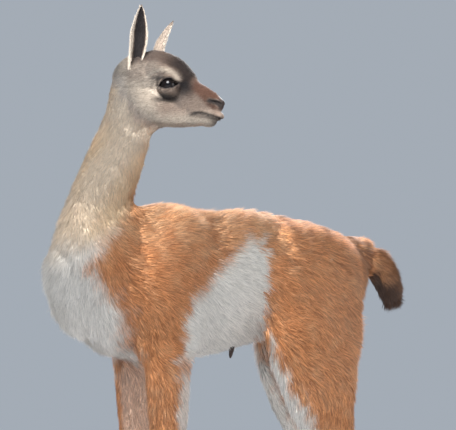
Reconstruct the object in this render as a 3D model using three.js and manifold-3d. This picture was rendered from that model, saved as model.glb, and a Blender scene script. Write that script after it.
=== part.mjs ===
// A newborn guanaco, standing and looking back over its left shoulder, as a life-size still model.
// Millimetres, +Z up, the animal faces -X and its left side is towards -Y.
// Every solid is the coat's outer form: a smooth field of tapered tubes, swept ring by ring.
import * as THREE from "three";
import { mergeVertices } from "three/addons/utils/BufferGeometryUtils.js";
import Module from "manifold-3d";

const wasm = await Module();
wasm.setup();

// Driving sizes
const WITHERS = 700; // height of the back over the forelegs
const TRUNK = 540; // front of the chest to the buttocks
const RUMP_X = 248; // the buttocks, in front of the frame's own origin
const GAP = 0.3; // between two nodes that meet
const HEAD_YAW = -44; // degrees, where the face points
const EYE_RADIUS = 14;
const EAR_LENGTH = 117;
const COAT = 20; // depth of the trunk's coat, skin to tips
const TAIL_COAT = 22;

const vec = (x, y, z) => new THREE.Vector3(x, y, z);
const mix = THREE.MathUtils.lerp;
const rad = THREE.MathUtils.degToRad;

// Smooth union of two distances, rounded over the width given
function blend(a, b, width) {
  const h = Math.max(width - Math.abs(a - b), 0) / width;
  return Math.min(a, b) - (h * h * width) / 4;
}

// The curve through the stations' places
const pathOf = (stations) =>
  new THREE.CatmullRomCurve3(stations.map((s) => vec(s[0], s[1], s[2])), false, "centripetal");

// A tapered tube through stations [x, y, z, half width across, half depth ahead, half depth behind].
// It returns the distance from a point to the tube's surface, negative inside.
function tube(stations, { across = vec(0, 1, 0), ahead = vec(0, 0, 1), steps = 3, cap = 0.9 } = {}) {
  const path = pathOf(stations);
  const sizes = new THREE.CatmullRomCurve3(
    stations.map((s) => vec(s[3], s[4], s[5])),
    false,
    "catmullrom",
    0.4,
  );
  const count = (stations.length - 1) * steps;
  const spans = [];
  for (let i = 0; i < count; i++) {
    const a = path.getPoint(i / count);
    const b = path.getPoint((i + 1) / count);
    const axis = b.clone().sub(a);
    const length = axis.length();
    axis.normalize();
    const side = across.clone().addScaledVector(axis, -across.dot(axis)).normalize();
    const front = axis.clone().cross(side).normalize();
    if (front.dot(ahead) < 0) front.negate();
    const from = sizes.getPoint(i / count);
    const to = sizes.getPoint((i + 1) / count);
    spans.push({ a, axis, length, side, front, from, to });
  }
  return (x, y, z) => {
    let best = Infinity;
    for (const s of spans) {
      let qx = x - s.a.x;
      let qy = y - s.a.y;
      let qz = z - s.a.z;
      const along = qx * s.axis.x + qy * s.axis.y + qz * s.axis.z;
      const near = Math.min(Math.max(along, 0), s.length);
      const t = near / s.length;
      qx -= near * s.axis.x;
      qy -= near * s.axis.y;
      qz -= near * s.axis.z;
      const over = along - near;
      const w = mix(s.from.x, s.to.x, t);
      const across1 = qx * s.side.x + qy * s.side.y + qz * s.side.z;
      const deep = qx * s.front.x + qy * s.front.y + qz * s.front.z;
      const d = deep > 0 ? mix(s.from.y, s.to.y, t) : mix(s.from.z, s.to.z, t);
      const r = Math.hypot(across1 / w, deep / d, over / (cap * Math.min(w, d)));
      const reach = Math.hypot(qx, qy, qz);
      best = Math.min(best, r > 1e-6 ? reach * (1 - 1 / r) : -Math.min(w, d));
    }
    return best;
  };
}

const ball = (c, rx, ry, rz) => (x, y, z) => {
  const r = Math.hypot((x - c[0]) / rx, (y - c[1]) / ry, (z - c[2]) / rz);
  return r > 1e-6 ? Math.hypot(x - c[0], y - c[1], z - c[2]) * (1 - 1 / r) : -Math.min(rx, ry, rz);
};

// Trunk: share of its length from the buttocks, then top line, belly line and half width as shares of WITHERS
const TRUNK_TABLE = [
  [0.05, 0.92, 0.74, 0.082],
  [0.15, 0.947, 0.7, 0.113],
  [0.28, 0.973, 0.676, 0.12],
  [0.42, 0.98, 0.643, 0.123],
  [0.56, 0.984, 0.612, 0.124],
  [0.7, 0.993, 0.606, 0.121],
  [0.82, 0.972, 0.622, 0.109],
  [0.92, 0.9, 0.665, 0.08],
];
const trunkTube = tube(
  TRUNK_TABLE.map(([share, top, bottom, half]) => {
    const middle = mix(bottom, top, 0.52) * WITHERS;
    const [up, down] = [top * WITHERS - middle, middle - bottom * WITHERS];
    return [RUMP_X - share * TRUNK, 0, middle, half * WITHERS, up, down];
  }),
);

// Neck: stations from inside the chest to behind the skull
const NECK = [
  [-212, 0, 585, 66, 58, 62],
  [-216, -2, 640, 60, 58, 64],
  [-208, -8, 692, 52, 56, 57],
  [-193, -18, 740, 45, 52, 52],
  [-178, -27, 786, 43, 48, 47],
  [-166, -35, 828, 43, 45, 46],
  [-160, -40, 866, 42, 43, 44],
  [-158, -42, 892, 38, 38, 38],
];
const neckTube = tube(NECK, { across: vec(0.25, 1, 0), ahead: vec(1, 0, 0), cap: 0.8 });

// Legs: [forward offset, sideways offset, height, half width, half depth ahead, half depth behind]
const LEG_HALF_SPREAD = 60;
const FORELEG = [
  [26, -4, 640, 26, 34, 30],
  [-8, 0, 560, 36, 50, 46],
  [6, 2, 490, 37, 50, 44],
  [0, 3, 440, 34, 43, 42],
  [0, 3, 390, 30, 39, 40],
  [1, 2, 310, 26, 33, 35],
  [0, 1, 262, 25, 30, 30],
  [0, 0, 228, 25, 30, 28],
  [1, 0, 196, 20, 23, 23],
  [1, 0, 140, 18, 20, 21],
  [2, 0, 96, 21, 22, 24],
  [-1, 0, 74, 22, 23, 25],
  [-8, 0, 46, 20, 22, 20],
];
const HINDLEG = [
  [-12, -12, 606, 40, 62, 64],
  [-18, -4, 540, 44, 78, 82],
  [-22, 2, 480, 42, 84, 86],
  [-18, 3, 430, 38, 78, 80],
  [-8, 2, 380, 34, 68, 70],
  [6, 1, 330, 30, 54, 54],
  [22, 0, 292, 27, 40, 40],
  [33, 0, 256, 24, 31, 33],
  [34, 0, 222, 20, 25, 26],
  [30, 0, 150, 18, 21, 22],
  [28, 0, 98, 21, 23, 25],
  [25, 0, 76, 22, 24, 25],
  [17, 0, 46, 20, 22, 20],
];
const LEGS = {
  fore_left: { x: -110, side: -1, table: FORELEG, cut: 0.6 * WITHERS },
  fore_right: { x: -118, side: 1, table: FORELEG, cut: 0.6 * WITHERS },
  hind_left: { x: 172, side: -1, table: HINDLEG, cut: 0.656 * WITHERS },
  hind_right: { x: 200, side: 1, table: HINDLEG, cut: 0.656 * WITHERS },
};
const ANKLE = 74; // height of the cut between a leg and its foot
for (const leg of Object.values(LEGS)) {
  leg.stations = leg.table.map(([x, y, ...rest]) => [leg.x + x, leg.side * (LEG_HALF_SPREAD + y), ...rest]);
  leg.field = tube(leg.stations, { ahead: vec(-1, 0, 0) });
  leg.path = pathOf(leg.stations);
}

// Tail: raised at its root and hanging behind
const TAIL = [
  [206, 2, 622, 22, 22, 26],
  [246, 3, 621, 26, 28, 31],
  [282, 4, 612, 29, 32, 33],
  [309, 5, 593, 28, 31, 31],
  [325, 6, 570, 24, 27, 27],
  [331, 6, 550, 17, 20, 20],
];
const tailTube = tube(TAIL, { ahead: vec(0.3, 0, 1) });

// Head frame: forward along the face, left of the animal, up; its centre is in the skull between the eyes
const HEAD_CENTRE = vec(-127, -66, 877);
const FORWARD = vec(Math.cos(rad(HEAD_YAW)), Math.sin(rad(HEAD_YAW)), 0);
const LEFT = vec(-FORWARD.y, FORWARD.x, 0);
const UP = vec(0, 0, 1);
const headPoint = (f, s, u) =>
  HEAD_CENTRE.clone().addScaledVector(FORWARD, f).addScaledVector(LEFT, s).addScaledVector(UP, u);
const headDirection = (f, s, u) => headPoint(f, s, u).sub(HEAD_CENTRE).normalize();

const skull = tube([
  [-34, 0, 20, 33, 34, 42],
  [-8, 0, 18, 38, 44, 46],
  [18, 0, 12, 38, 40, 40],
  [36, 0, 4, 31, 32, 36],
  [52, 0, -9, 23, 23, 29],
  [66, 0, -22, 18, 19, 24],
]);
const muzzle = tube([
  [58, 0, -31, 22, 30, 30],
  [78, 0, -34, 18, 29, 27],
  [92, 0, -38, 16.5, 24, 22],
  [100, 0, -43, 13.5, 19, 18],
]);
const brow = (s) => tube([[6, 28 * s, 22, 10, 9, 9], [24, 31 * s, 21, 10, 9, 9], [40, 22 * s, 6, 7, 6, 6]]);
const gullet = tube([
  [-24, 0, -24, 30, 26, 44],
  [14, 0, -36, 26, 26, 34],
  [52, 0, -46, 17, 22, 22],
  [88, 0, -55, 11, 12, 14],
]);
const jaw = (s) => tube([
  [-16, 24 * s, -36, 17, 26, 26],
  [14, 19 * s, -48, 14, 20, 20],
  [50, 13 * s, -57, 10, 13, 14],
  [82, 6 * s, -62, 8, 8, 9],
  [94, 3 * s, -64, 7, 6, 7],
]);
const EYE = { f: 30, s: 28, u: -5 };
const orbit = (s) => ball([EYE.f, 24 * s, EYE.u], 22, 16, 18);
const lips = (s) =>
  tube([
    [70, 15 * s, -51, 5, 5, 5],
    [90, 14 * s, -53, 6, 6, 6],
    [104, 9 * s, -56, 7, 7, 7],
    [110, 4 * s, -57, 7, 6, 7],
  ]);
const chin = ball([90, 0, -65], 12, 10, 8.5);
const nosePad = (s) => ball([105, 6 * s, -36.5], 12, 7.5, 10);
const HEAD_PARTS = [brow, jaw, orbit, lips, nosePad].flatMap((make) => [make(-1), make(1)]);

function headLocal(f, s, u) {
  let d = blend(blend(skull(f, s, u), muzzle(f, s, u), 14), gullet(f, s, u), 14);
  for (const part of HEAD_PARTS) d = blend(d, part(f, s, u), 8);
  return blend(d, chin(f, s, u), 8);
}
function headField(x, y, z) {
  const dx = x - HEAD_CENTRE.x;
  const dy = y - HEAD_CENTRE.y;
  return headLocal(dx * FORWARD.x + dy * FORWARD.y, dx * LEFT.x + dy * LEFT.y, z - HEAD_CENTRE.z);
}
const topField = (x, y, z) => blend(headField(x, y, z), neckTube(x, y, z), 26);

function bodyField(x, y, z) {
  let d = blend(trunkTube(x, y, z), neckTube(x, y, z), 40);
  for (const leg of Object.values(LEGS)) d = blend(d, leg.field(x, y, z), 30);
  return d;
}

// Planes where the neck parts from the trunk, and the head from the neck
const NECK_BASE = [vec(-214, 0, 628), vec(-0.62, 0, 0.78), 3];
const HEAD_BASE = [headPoint(-34, 0, -27), headDirection(0.79, 0, 0.61), 3];

const smooth = (t) => THREE.MathUtils.smoothstep(t, 0, 1);
// Depth of the woolly coat: full on the trunk, thin at the legs' seats, the tail's root and the head
function coatAt(x, y, z) {
  const low = mix(0.12, 1, smooth((z - 424) / 90));
  const high = mix(1, 0.55, smooth((z - 690) / 90));
  const root = smooth((Math.hypot(x - 245, y - 2, z - 612) - 30) / 45);
  const [centre, normal] = HEAD_BASE;
  const below = -((x - centre.x) * normal.x + (y - centre.y) * normal.y + (z - centre.z) * normal.z);
  return COAT * low * high * root * mix(0.1, 1, smooth(below / 70));
}
const cored = (field) => (x, y, z) => field(x, y, z) + coatAt(x, y, z) / 2;

function neckField(x, y, z) {
  return Math.min(blend(trunkTube(x, y, z), topField(x, y, z), 40), bodyField(x, y, z));
}

// The distance from a ring's centre, along a spoke, to the field's surface
function reach(field, centre, spoke, level, most) {
  const at = (s) => field(centre.x + s * spoke.x, centre.y + s * spoke.y, centre.z + s * spoke.z) - level;
  let inside = 0;
  let outside = 4;
  while (outside < most && at(outside) < 0) {
    inside = outside;
    outside += 4;
  }
  for (let i = 0; i < 12; i++) {
    const middle = (inside + outside) / 2;
    if (at(middle) < 0) inside = middle;
    else outside = middle;
  }
  return inside;
}

// A closed mesh of rings of points, each end closed by a fan to its own middle point
function loft(rings, firstMiddle, lastMiddle) {
  const n = rings[0].length;
  const points = [...rings.flat(), firstMiddle, lastMiddle];
  const faces = [];
  const at = (i, j) => i * n + (j % n);
  for (let i = 0; i + 1 < rings.length; i++)
    for (let j = 0; j < n; j++) {
      faces.push(at(i, j), at(i, j + 1), at(i + 1, j + 1));
      faces.push(at(i, j), at(i + 1, j + 1), at(i + 1, j));
    }
  for (let j = 0; j < n; j++) {
    faces.push(points.length - 2, at(0, j + 1), at(0, j));
    faces.push(points.length - 1, at(rings.length - 1, j), at(rings.length - 1, j + 1));
  }
  return closed(points, faces);
}

function closed(points, faces) {
  const g = new THREE.BufferGeometry();
  g.setAttribute("position", new THREE.Float32BufferAttribute(points.flatMap((p) => [p.x, p.y, p.z]), 3));
  g.setIndex(faces);
  return g;
}

// Rings of a field about a path. Each station is { centre, normal, up }.
function ringsOf(stations, spokes, field, { level = 0, most = 170 } = {}) {
  return stations.map(({ centre, normal, up }) => {
    const rise = up.clone().addScaledVector(normal, -up.dot(normal)).normalize();
    const side = rise.clone().cross(normal);
    return Array.from({ length: spokes }, (_, j) => {
      const angle = (2 * Math.PI * j) / spokes;
      const spoke = side.clone().multiplyScalar(Math.sin(angle)).addScaledVector(rise, Math.cos(angle));
      return centre.clone().addScaledVector(spoke, reach(field, centre, spoke, level, most));
    });
  });
}

// One end is flat, on its own ring's plane, or rounded, out to where the field ends
function sweep(stations, spokes, field, options = {}) {
  const { level = 0, most = 170, roundFirst = false, roundLast = false } = options;
  const end = (station, round, sign) => {
    const out = station.normal.clone().multiplyScalar(sign);
    const far = round ? reach(field, station.centre, out, level, most) : 0;
    return station.centre.clone().addScaledVector(out, far);
  };
  const first = end(stations[0], roundFirst, -1);
  const last = end(stations[stations.length - 1], roundLast, 1);
  return solid(loft(ringsOf(stations, spokes, field, { level, most }), first, last));
}

function solid(geometry) {
  const bare = geometry.clone();
  for (const name of ["normal", "uv"]) bare.deleteAttribute(name);
  const merged = mergeVertices(bare, 1e-4);
  const triVerts = new Uint32Array(merged.index.array);
  const make = () =>
    new wasm.Manifold(
      new wasm.Mesh({ numProp: 3, vertProperties: merged.attributes.position.array, triVerts }),
    );
  const made = make();
  if (made.volume() > 0) return made;
  for (let i = 0; i < triVerts.length; i += 3) {
    [triVerts[i], triVerts[i + 1]] = [triVerts[i + 1], triVerts[i]];
  }
  return make();
}

const largest = (body) => body.decompose().sort((a, b) => b.volume() - a.volume())[0];

function geometryOf(body) {
  const mesh = largest(body).getMesh();
  const g = new THREE.BufferGeometry();
  g.setAttribute("position", new THREE.BufferAttribute(new Float32Array(mesh.vertProperties), 3));
  g.setIndex(new THREE.BufferAttribute(new Uint32Array(mesh.triVerts), 1));
  g.computeVertexNormals();
  return g;
}

// Stations between key rings: [centre, normal], with a count of steps to each next key
function stationsOf(keys, up) {
  const out = [];
  keys.forEach(([centre, normal, steps], i) => {
    const next = keys[i + 1];
    const count = next ? steps : 1;
    for (let k = 0; k < count; k++) {
      const t = k / count;
      out.push({
        centre: next ? centre.clone().lerp(next[0], t) : centre.clone(),
        normal: next ? normal.clone().lerp(next[1], t).normalize() : normal.clone().normalize(),
        up,
      });
    }
  });
  return out;
}
const shifted = ([centre, normal, steps], by) => [
  centre.clone().addScaledVector(normal.clone().normalize(), by),
  normal,
  steps,
];

// What lies on one side of a key plane: 1 beyond it, -1 before it, half a gap away
function beside(body, [centre, normal], side) {
  const n = normal.clone().normalize().multiplyScalar(side);
  return body.trimByPlane([n.x, n.y, n.z], n.dot(centre) + GAP / 2);
}

const AHEAD = vec(-1, 0, 0);
function torsoSolid(field, { spokes = 28, level = 0 } = {}) {
  const stations = stationsOf(
    [
      [vec(237, 0, 582), AHEAD, 1],
      [vec(228, 0, 580), AHEAD, 1],
      [vec(214, 0, 578), AHEAD, 6],
      [vec(60, 0, 575), AHEAD, 5],
      [vec(-90, 0, 572), AHEAD, 5],
      shifted(NECK_BASE, -GAP / 2),
    ],
    vec(0, 0, 1),
  );
  return sweep(stations, spokes, field, { level, roundFirst: true });
}

// Locks of the trunk lie back and down, and hang on the belly
const UNDER_NAVEL = vec(0, -12, 460);
function woollyTorso() {
  const rows = [185, 129, 73, 17, -39, -95, -151];
  const stations = rows.map((x) => ({ centre: vec(x, 0, 575), normal: AHEAD, up: UP }));
  const body = lockRows(torsoSolid(cored(bodyField), { spokes: 20 }), {
    stations,
    around: 13,
    field: bodyField,
    lieOf: (p) => vec(1, 0, mix(-0.2, -0.9, smooth((650 - p.z) / 160))),
    sizeOf: (p) => lockSize(p, 78, 36),
    skip: (p) => p.z < 440 || Math.hypot(p.x - 245, p.z - 612) < 50 || p.distanceTo(UNDER_NAVEL) < 62,
  });
  return beside(body, NECK_BASE, -1);
}

function lockSize(p, length, width) {
  const depth = coatAt(p.x, p.y, p.z);
  const share = mix(0.6, 1, Math.min(1, depth / COAT));
  return {
    length: length * share,
    width: width * share,
    thickness: 7 * share,
    depth: depth / 2 + 6 * share,
  };
}

const NECK_KEYS = [
  shifted(NECK_BASE, GAP / 2),
  [vec(-204, -10, 690), vec(0.1, -0.05, 1), 3],
  [vec(-190, -20, 745), vec(0.25, -0.15, 1), 3],
  [vec(-166, -36, 826), vec(0.3, -0.15, 1), 3],
  shifted(HEAD_BASE, -GAP / 2),
];
function woollyNeck() {
  const stations = stationsOf(NECK_KEYS, vec(1, -0.2, 0));
  const body = lockRows(sweep(stations, 20, cored(neckField)), {
    stations: [1, 2, 4, 6, 8].map((i) => stations[i]),
    around: 7,
    field: neckField,
    lieOf: () => vec(-0.1, 0, -1),
    sizeOf: (p) => lockSize(p, 70, 34),
  });
  return beside(beside(body, NECK_BASE, 1), HEAD_BASE, -1);
}

const MUZZLE_END = [headPoint(110, 0, -47), FORWARD, 1];
function headStations(first) {
  return stationsOf(
    [
      first,
      [headPoint(0, 0, -14), headDirection(0.96, 0, 0.28), 3],
      [headPoint(30, 0, -10), FORWARD, 2],
      [headPoint(44, 0, -14), FORWARD, 4],
      [headPoint(72, 0, -36), FORWARD, 5],
      [headPoint(102, 0, -46), FORWARD, 3],
      MUZZLE_END,
    ],
    UP,
  );
}
function headSweep(level) {
  const stations = headStations(shifted(HEAD_BASE, GAP / 2));
  return beside(sweep(stations, 26, topField, { level, roundLast: true, most: 120 }), HEAD_BASE, 1);
}

// Turns a piece made about the origin, with +Z along the line given, and moves it to its place
function placed(geometry, at, zAxis, yHint) {
  const z = zAxis.clone().normalize();
  const x = yHint.clone().cross(z).normalize();
  const basis = new THREE.Matrix4().makeBasis(x, z.clone().cross(x), z).setPosition(at);
  return solid(geometry.clone().applyMatrix4(basis));
}

// The surface's outward direction
function normalAt(field, p) {
  const e = 0.5;
  return vec(
    field(p.x + e, p.y, p.z) - field(p.x - e, p.y, p.z),
    field(p.x, p.y + e, p.z) - field(p.x, p.y - e, p.z),
    field(p.x, p.y, p.z + e) - field(p.x, p.y, p.z - e),
  ).normalize();
}

// Moves a point straight in or out until the field has the level given
function settle(field, p, level) {
  const q = p.clone();
  for (let i = 0; i < 4; i++) q.addScaledVector(normalAt(field, q), level - field(q.x, q.y, q.z));
  return q;
}

// One flat tapered lock: its root is sunk in the core and its tip reaches the coat's outer form
const LOCK_SHAPE = [
  [0, 1, 0.8],
  [0.4, 0.45, 1],
  [0.76, 0.16, 0.62],
]; // share of the length, share of the coat's depth under the tips, share of the full width
function lock(field, from, lie, { length, width, thickness, depth }) {
  const rings = [];
  let end = from;
  for (const [share, sunk, wide] of [...LOCK_SHAPE, [1, 0.02, 0]]) {
    const p = settle(field, from.clone().addScaledVector(lie, share * length), -sunk * depth);
    const n = normalAt(field, p);
    const side = lie.clone().cross(n).normalize();
    end = p;
    if (!wide) break;
    rings.push([
      p.clone().addScaledVector(side, (width * wide) / 2),
      p.clone().addScaledVector(n, Math.min(thickness, sunk * depth * 0.9)),
      p.clone().addScaledVector(side, (-width * wide) / 2).addScaledVector(n, -0.2),
    ]);
    rings[rings.length - 1][0].addScaledVector(n, -0.2);
  }
  return solid(spike(rings, end));
}

// A mesh of rings that ends in one point, with a flat root
function spike(rings, tip) {
  const n = rings[0].length;
  const faces = [];
  for (let j = 1; j + 1 < n; j++) faces.push(0, j + 1, j);
  for (let i = 0; i + 1 < rings.length; i++)
    for (let j = 0; j < n; j++) {
      const [a, b] = [i * n + j, i * n + ((j + 1) % n)];
      faces.push(a, b, b + n, a, b + n, a + n);
    }
  const last = (rings.length - 1) * n;
  for (let j = 0; j < n; j++) faces.push(last + j, last + ((j + 1) % n), n * rings.length);
  return closed([...rings.flat(), tip], faces);
}

// Rows of locks about a path, each row turned half a step. lieOf gives the way the hair lies at a point.
function lockRows(body, { stations, around, field, lieOf, sizeOf, skip = () => false }) {
  const found = ringsOf(stations, around * 2, field, {});
  found.forEach((ring, row) => {
    for (let j = row % 2; j < around * 2; j += 2) {
      const p = ring[j];
      if (skip(p)) continue;
      const n = normalAt(field, p);
      const lie = lieOf(p, n);
      lie.addScaledVector(n, -lie.dot(n)).normalize();
      const size = sizeOf(p);
      body = body.add(lock(field, p.clone().addScaledVector(lie, -size.length * 0.3), lie, size));
    }
  });
  return body;
}

// A pointed lens, for the opening between the lids and for the nostrils
function almond(length, height, depth, droop = 0) {
  const shape = new THREE.Shape();
  shape.moveTo(-length / 2, 0);
  shape.quadraticCurveTo(0, height * (1 + droop), length / 2, 0);
  shape.quadraticCurveTo(0, -height * (1 - droop), -length / 2, 0);
  return new THREE.ExtrudeGeometry(shape, { depth, bevelEnabled: false, curveSegments: 5 });
}

const SOCKET = EYE_RADIUS + GAP;
const LID = 2; // thickness of a lid
const eyeCentre = (s) => headPoint(EYE.f, EYE.s * s, EYE.u);
const gaze = (s) => headDirection(0.33, s, 0.02);

// The groove of the mouth: a thin curved slab that only reaches a few millimetres in
function mouthGroove(core) {
  const half = 0.8;
  const line = [[130, -67], [113, -62.5], [105, -59], [94, -55], [82, -52], [74, -52], [67, -55]];
  const shape = new THREE.Shape();
  line.forEach(([f, u], i) => (i ? shape.lineTo(f, u + half) : shape.moveTo(f, u + half)));
  for (const [f, u] of [...line].reverse()) shape.lineTo(f, u - half);
  const width = 60;
  const slab = new THREE.ExtrudeGeometry(shape, { depth: width, bevelEnabled: false });
  slab.translate(0, 0, -width / 2);
  const basis = new THREE.Matrix4().makeBasis(FORWARD, UP, LEFT.clone().negate()).setPosition(HEAD_CENTRE);
  return solid(slab.applyMatrix4(basis)).subtract(core);
}

function headSolid() {
  let head = headSweep(0);
  for (const s of [-1, 1]) {
    const centre = eyeCentre(s);
    const lids = new THREE.SphereGeometry(SOCKET + LID, 16, 10);
    const socket = new THREE.SphereGeometry(SOCKET, 16, 10);
    head = head.add(placed(lids, centre, gaze(s), UP)).subtract(placed(socket, centre, gaze(s), UP));
    const opening = almond(31, 15, 40, 0.15);
    head = head.subtract(placed(opening, centre, gaze(s), headDirection(-0.1, 0, 1)));
    const nostril = almond(15, 5, 12);
    const nose = headPoint(108, 8 * s, -38);
    head = head.subtract(placed(nostril, nose, headDirection(0.45, s, 0.1), headDirection(0.6, 0, 1)));
  }
  return head.subtract(mouthGroove(headSweep(-4)));
}

// An ear: a long leaf rolled into a cup, as thick as the furred ear, open along its front
function earSolid(s) {
  const root = headPoint(-36, 33 * s, 18);
  const axis = s < 0 ? headDirection(32, -30, 112) : headDirection(36, 36, 114);
  const open = headDirection(0.8, s, -0.1);
  const levels = 12;
  const arcs = 8;
  const buried = 16;
  const side = axis.clone().cross(open).normalize();
  const front = side.clone().cross(axis).normalize();
  const rings = [];
  for (let i = 0; i <= levels; i++) {
    const t = i / levels;
    const leaf = Math.pow(Math.sin(Math.PI * Math.pow(mix(0.1, 1, t), 0.72)), 0.65);
    const width = mix(30 * (1 - t), s < 0 ? 40 : 36, Math.min(1, leaf));
    const roll = rad(mix(300, 150, Math.min(1, t * 1.6)));
    const radius = Math.max(width / roll, 0.9) * 1.25;
    const thick = mix(5.5, 1.4, t);
    const lean = 9 * Math.sin(Math.PI * t);
    const middle = root.clone().addScaledVector(axis, mix(-buried, EAR_LENGTH, t));
    middle.addScaledVector(side, -lean * s * 0.5);
    const arc = (r, flip) =>
      Array.from({ length: arcs + 1 }, (_, k) => {
        const angle = mix(-roll / 2, roll / 2, flip ? 1 - k / arcs : k / arcs);
        const at = middle.clone().addScaledVector(side, Math.sin(angle) * r);
        return at.addScaledVector(front, -Math.cos(angle) * r);
      });
    rings.push([...arc(radius, false), ...arc(Math.max(radius - thick, 0.35), true)]);
  }
  return solid(strip(rings, arcs)).subtract(headSweep(GAP));
}

// As loft, for rings that are thin bands: the ends are closed by a strip between the two arcs
function strip(rings, arcs) {
  const n = rings[0].length;
  const faces = [];
  const at = (i, j) => i * n + (j % n);
  for (let i = 0; i + 1 < rings.length; i++)
    for (let j = 0; j < n; j++) {
      faces.push(at(i, j), at(i, j + 1), at(i + 1, j + 1));
      faces.push(at(i, j), at(i + 1, j + 1), at(i + 1, j));
    }
  const end = rings.length - 1;
  for (let k = 0; k < arcs; k++) {
    const [a, b, c, d] = [k, k + 1, n - 2 - k, n - 1 - k];
    faces.push(at(0, a), at(0, c), at(0, b), at(0, a), at(0, d), at(0, c));
    faces.push(at(end, a), at(end, b), at(end, c), at(end, a), at(end, c), at(end, d));
  }
  return closed(rings.flat(), faces);
}

function legSolid(leg) {
  const down = vec(0, 0, -1);
  const heights = [];
  for (let z = leg.cut - GAP; z > ANKLE + 20; z -= 24) heights.push(z);
  heights.push(ANKLE + GAP);
  const stations = heights.map((z) => ({ centre: centreAt(leg, z), normal: down, up: vec(-1, 0, 0) }));
  const field = inward((x, y, z) => blend(leg.field(x, y, z), trunkTube(x, y, z), 30), leg);
  return sweep(stations, 14, field, { most: 110 });
}
// A field cut off on its inner side, so that two legs never meet
const inward = (field, leg) => (x, y, z) => Math.max(field(x, y, z), 2 - y * leg.side);

// The point of a leg's path at a height
function centreAt(leg, z) {
  let low = 0;
  let high = 1;
  for (let i = 0; i < 24; i++) {
    const t = (low + high) / 2;
    if (leg.path.getPoint(t).z > z) low = t;
    else high = t;
  }
  return leg.path.getPoint(low);
}

// A foot: the pastern and two toes side by side on flat pads
const TOE_SPREAD = 11;
function toeField(leg, side) {
  const [x, y] = toeRoot(leg, side);
  return tube(
    [
      [x + 4, y, 32, 11, 12, 22],
      [x - 10, y + side * 1.5, 22, 12, 14, 28],
      [x - 25, y + side * 3, 15, 11.5, 12, 22],
      [x - 36, y + side * 3.5, 10, 9, 9, 14],
    ],
    { ahead: UP },
  );
}
function toeRoot(leg, side) {
  const ankle = centreAt(leg, 46);
  return [ankle.x, ankle.y + side * TOE_SPREAD];
}
function toeSweep(leg, side, level) {
  const [x, y] = toeRoot(leg, side);
  const stations = [6, -2, -10, -18, -26, -33, -39].map((dx, i) => ({
    centre: vec(x + dx, y + side * Math.min(3, i * 0.6), mix(30, 11, i / 6)),
    normal: vec(-1, 0, 0),
    up: UP,
  }));
  return sweep(stations, 8, toeField(leg, side), { level, roundFirst: true, roundLast: true, most: 40 });
}
function footSolid(leg) {
  const top = centreAt(leg, ANKLE);
  const heights = [ANKLE - GAP, 62, 50, 38, 28];
  const stations = heights.map((z) => ({
    centre: centreAt(leg, Math.max(z, 48)).setZ(z),
    normal: vec(0, 0, -1),
    up: AHEAD,
  }));
  const pastern = sweep(stations, 12, leg.field, { roundLast: true, most: 60 });
  const slab = new THREE.BoxGeometry(300, 300, 60).translate(top.x, top.y, -30);
  return pastern.add(toeSweep(leg, -1, 0)).add(toeSweep(leg, 1, 0)).subtract(solid(slab));
}
function nailSolid(leg, side) {
  const [x, y] = toeRoot(leg, side);
  const field = tube(
    [
      [x - 27, y + side * 3, 20, 6.5, 6, 5],
      [x - 40, y + side * 3.4, 13.5, 6, 5, 5],
      [x - 50, y + side * 3.6, 5.5, 3.4, 3, 2.6],
    ],
    { ahead: UP },
  );
  const stations = [-29, -35, -41, -46, -50].map((dx) => ({
    centre: vec(x + dx, y + side * 3.4, mix(19, 5.6, (-29 - dx) / 21)),
    normal: vec(-1, 0, 0),
    up: UP,
  }));
  const nail = sweep(stations, 8, field, { roundFirst: true, roundLast: true, most: 20 });
  return nail.subtract(toeSweep(leg, side, GAP));
}

function tailSolid() {
  const path = pathOf(TAIL);
  const stations = Array.from({ length: 12 }, (_, i) => {
    const t = mix(0.02, 1, i / 11);
    return { centre: path.getPoint(t), normal: path.getTangent(t), up: vec(0.3, 0, 1) };
  });
  const slim = (x, y, z) => tailTube(x, y, z) + TAIL_COAT / 2;
  const body = sweep(stations, 12, slim, { roundFirst: true, roundLast: true, most: 60 });
  return lockRows(body, {
    stations: [4, 7, 10].map((i) => stations[i]),
    around: 6,
    field: tailTube,
    lieOf: (p) => path.getTangent(nearest(path, p)),
    sizeOf: () => ({ length: 74, width: 30, thickness: 7, depth: TAIL_COAT / 2 + 6 }),
  });
}

function nearest(path, p) {
  let best = 0;
  for (let t = 0; t <= 1; t += 0.02) {
    if (path.getPoint(t).distanceTo(p) < path.getPoint(best).distanceTo(p)) best = t;
  }
  return best;
}

// The dried stump of the navel cord under the belly
function navelSolid(trunk) {
  const at = vec(27, -12, 462);
  const profile = [[0, 8], [4.5, 6], [5, -4], [3.6, -14], [2.4, -22], [0, -27]];
  const points = profile.map(([r, z]) => new THREE.Vector2(r, z));
  const lathe = new THREE.LatheGeometry(points, 10).rotateX(Math.PI / 2);
  return placed(lathe, at, vec(0.12, 0, 1), vec(0, 1, 0)).subtract(trunk);
}

const looks = {
  coat: new THREE.MeshStandardMaterial({ color: 0xb4784f, roughness: 0.95 }),
  neck: new THREE.MeshStandardMaterial({ color: 0xdcc4a6, roughness: 0.95 }),
  face: new THREE.MeshStandardMaterial({ color: 0xa89a8e, roughness: 0.9 }),
  ear: new THREE.MeshStandardMaterial({ color: 0x8d8883, roughness: 0.9 }),
  tail: new THREE.MeshStandardMaterial({ color: 0x7a4a30, roughness: 0.95 }),
  eye: new THREE.MeshStandardMaterial({ color: 0x0c0a0a, roughness: 0.08 }),
  nail: new THREE.MeshStandardMaterial({ color: 0x2c2724, roughness: 0.5 }),
  cord: new THREE.MeshStandardMaterial({ color: 0x241a16, roughness: 0.7 }),
};

const animal = new THREE.Group();
function node(name, body, look) {
  const mesh = new THREE.Mesh(geometryOf(body), look.clone());
  mesh.name = name;
  animal.add(mesh);
}

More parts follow.
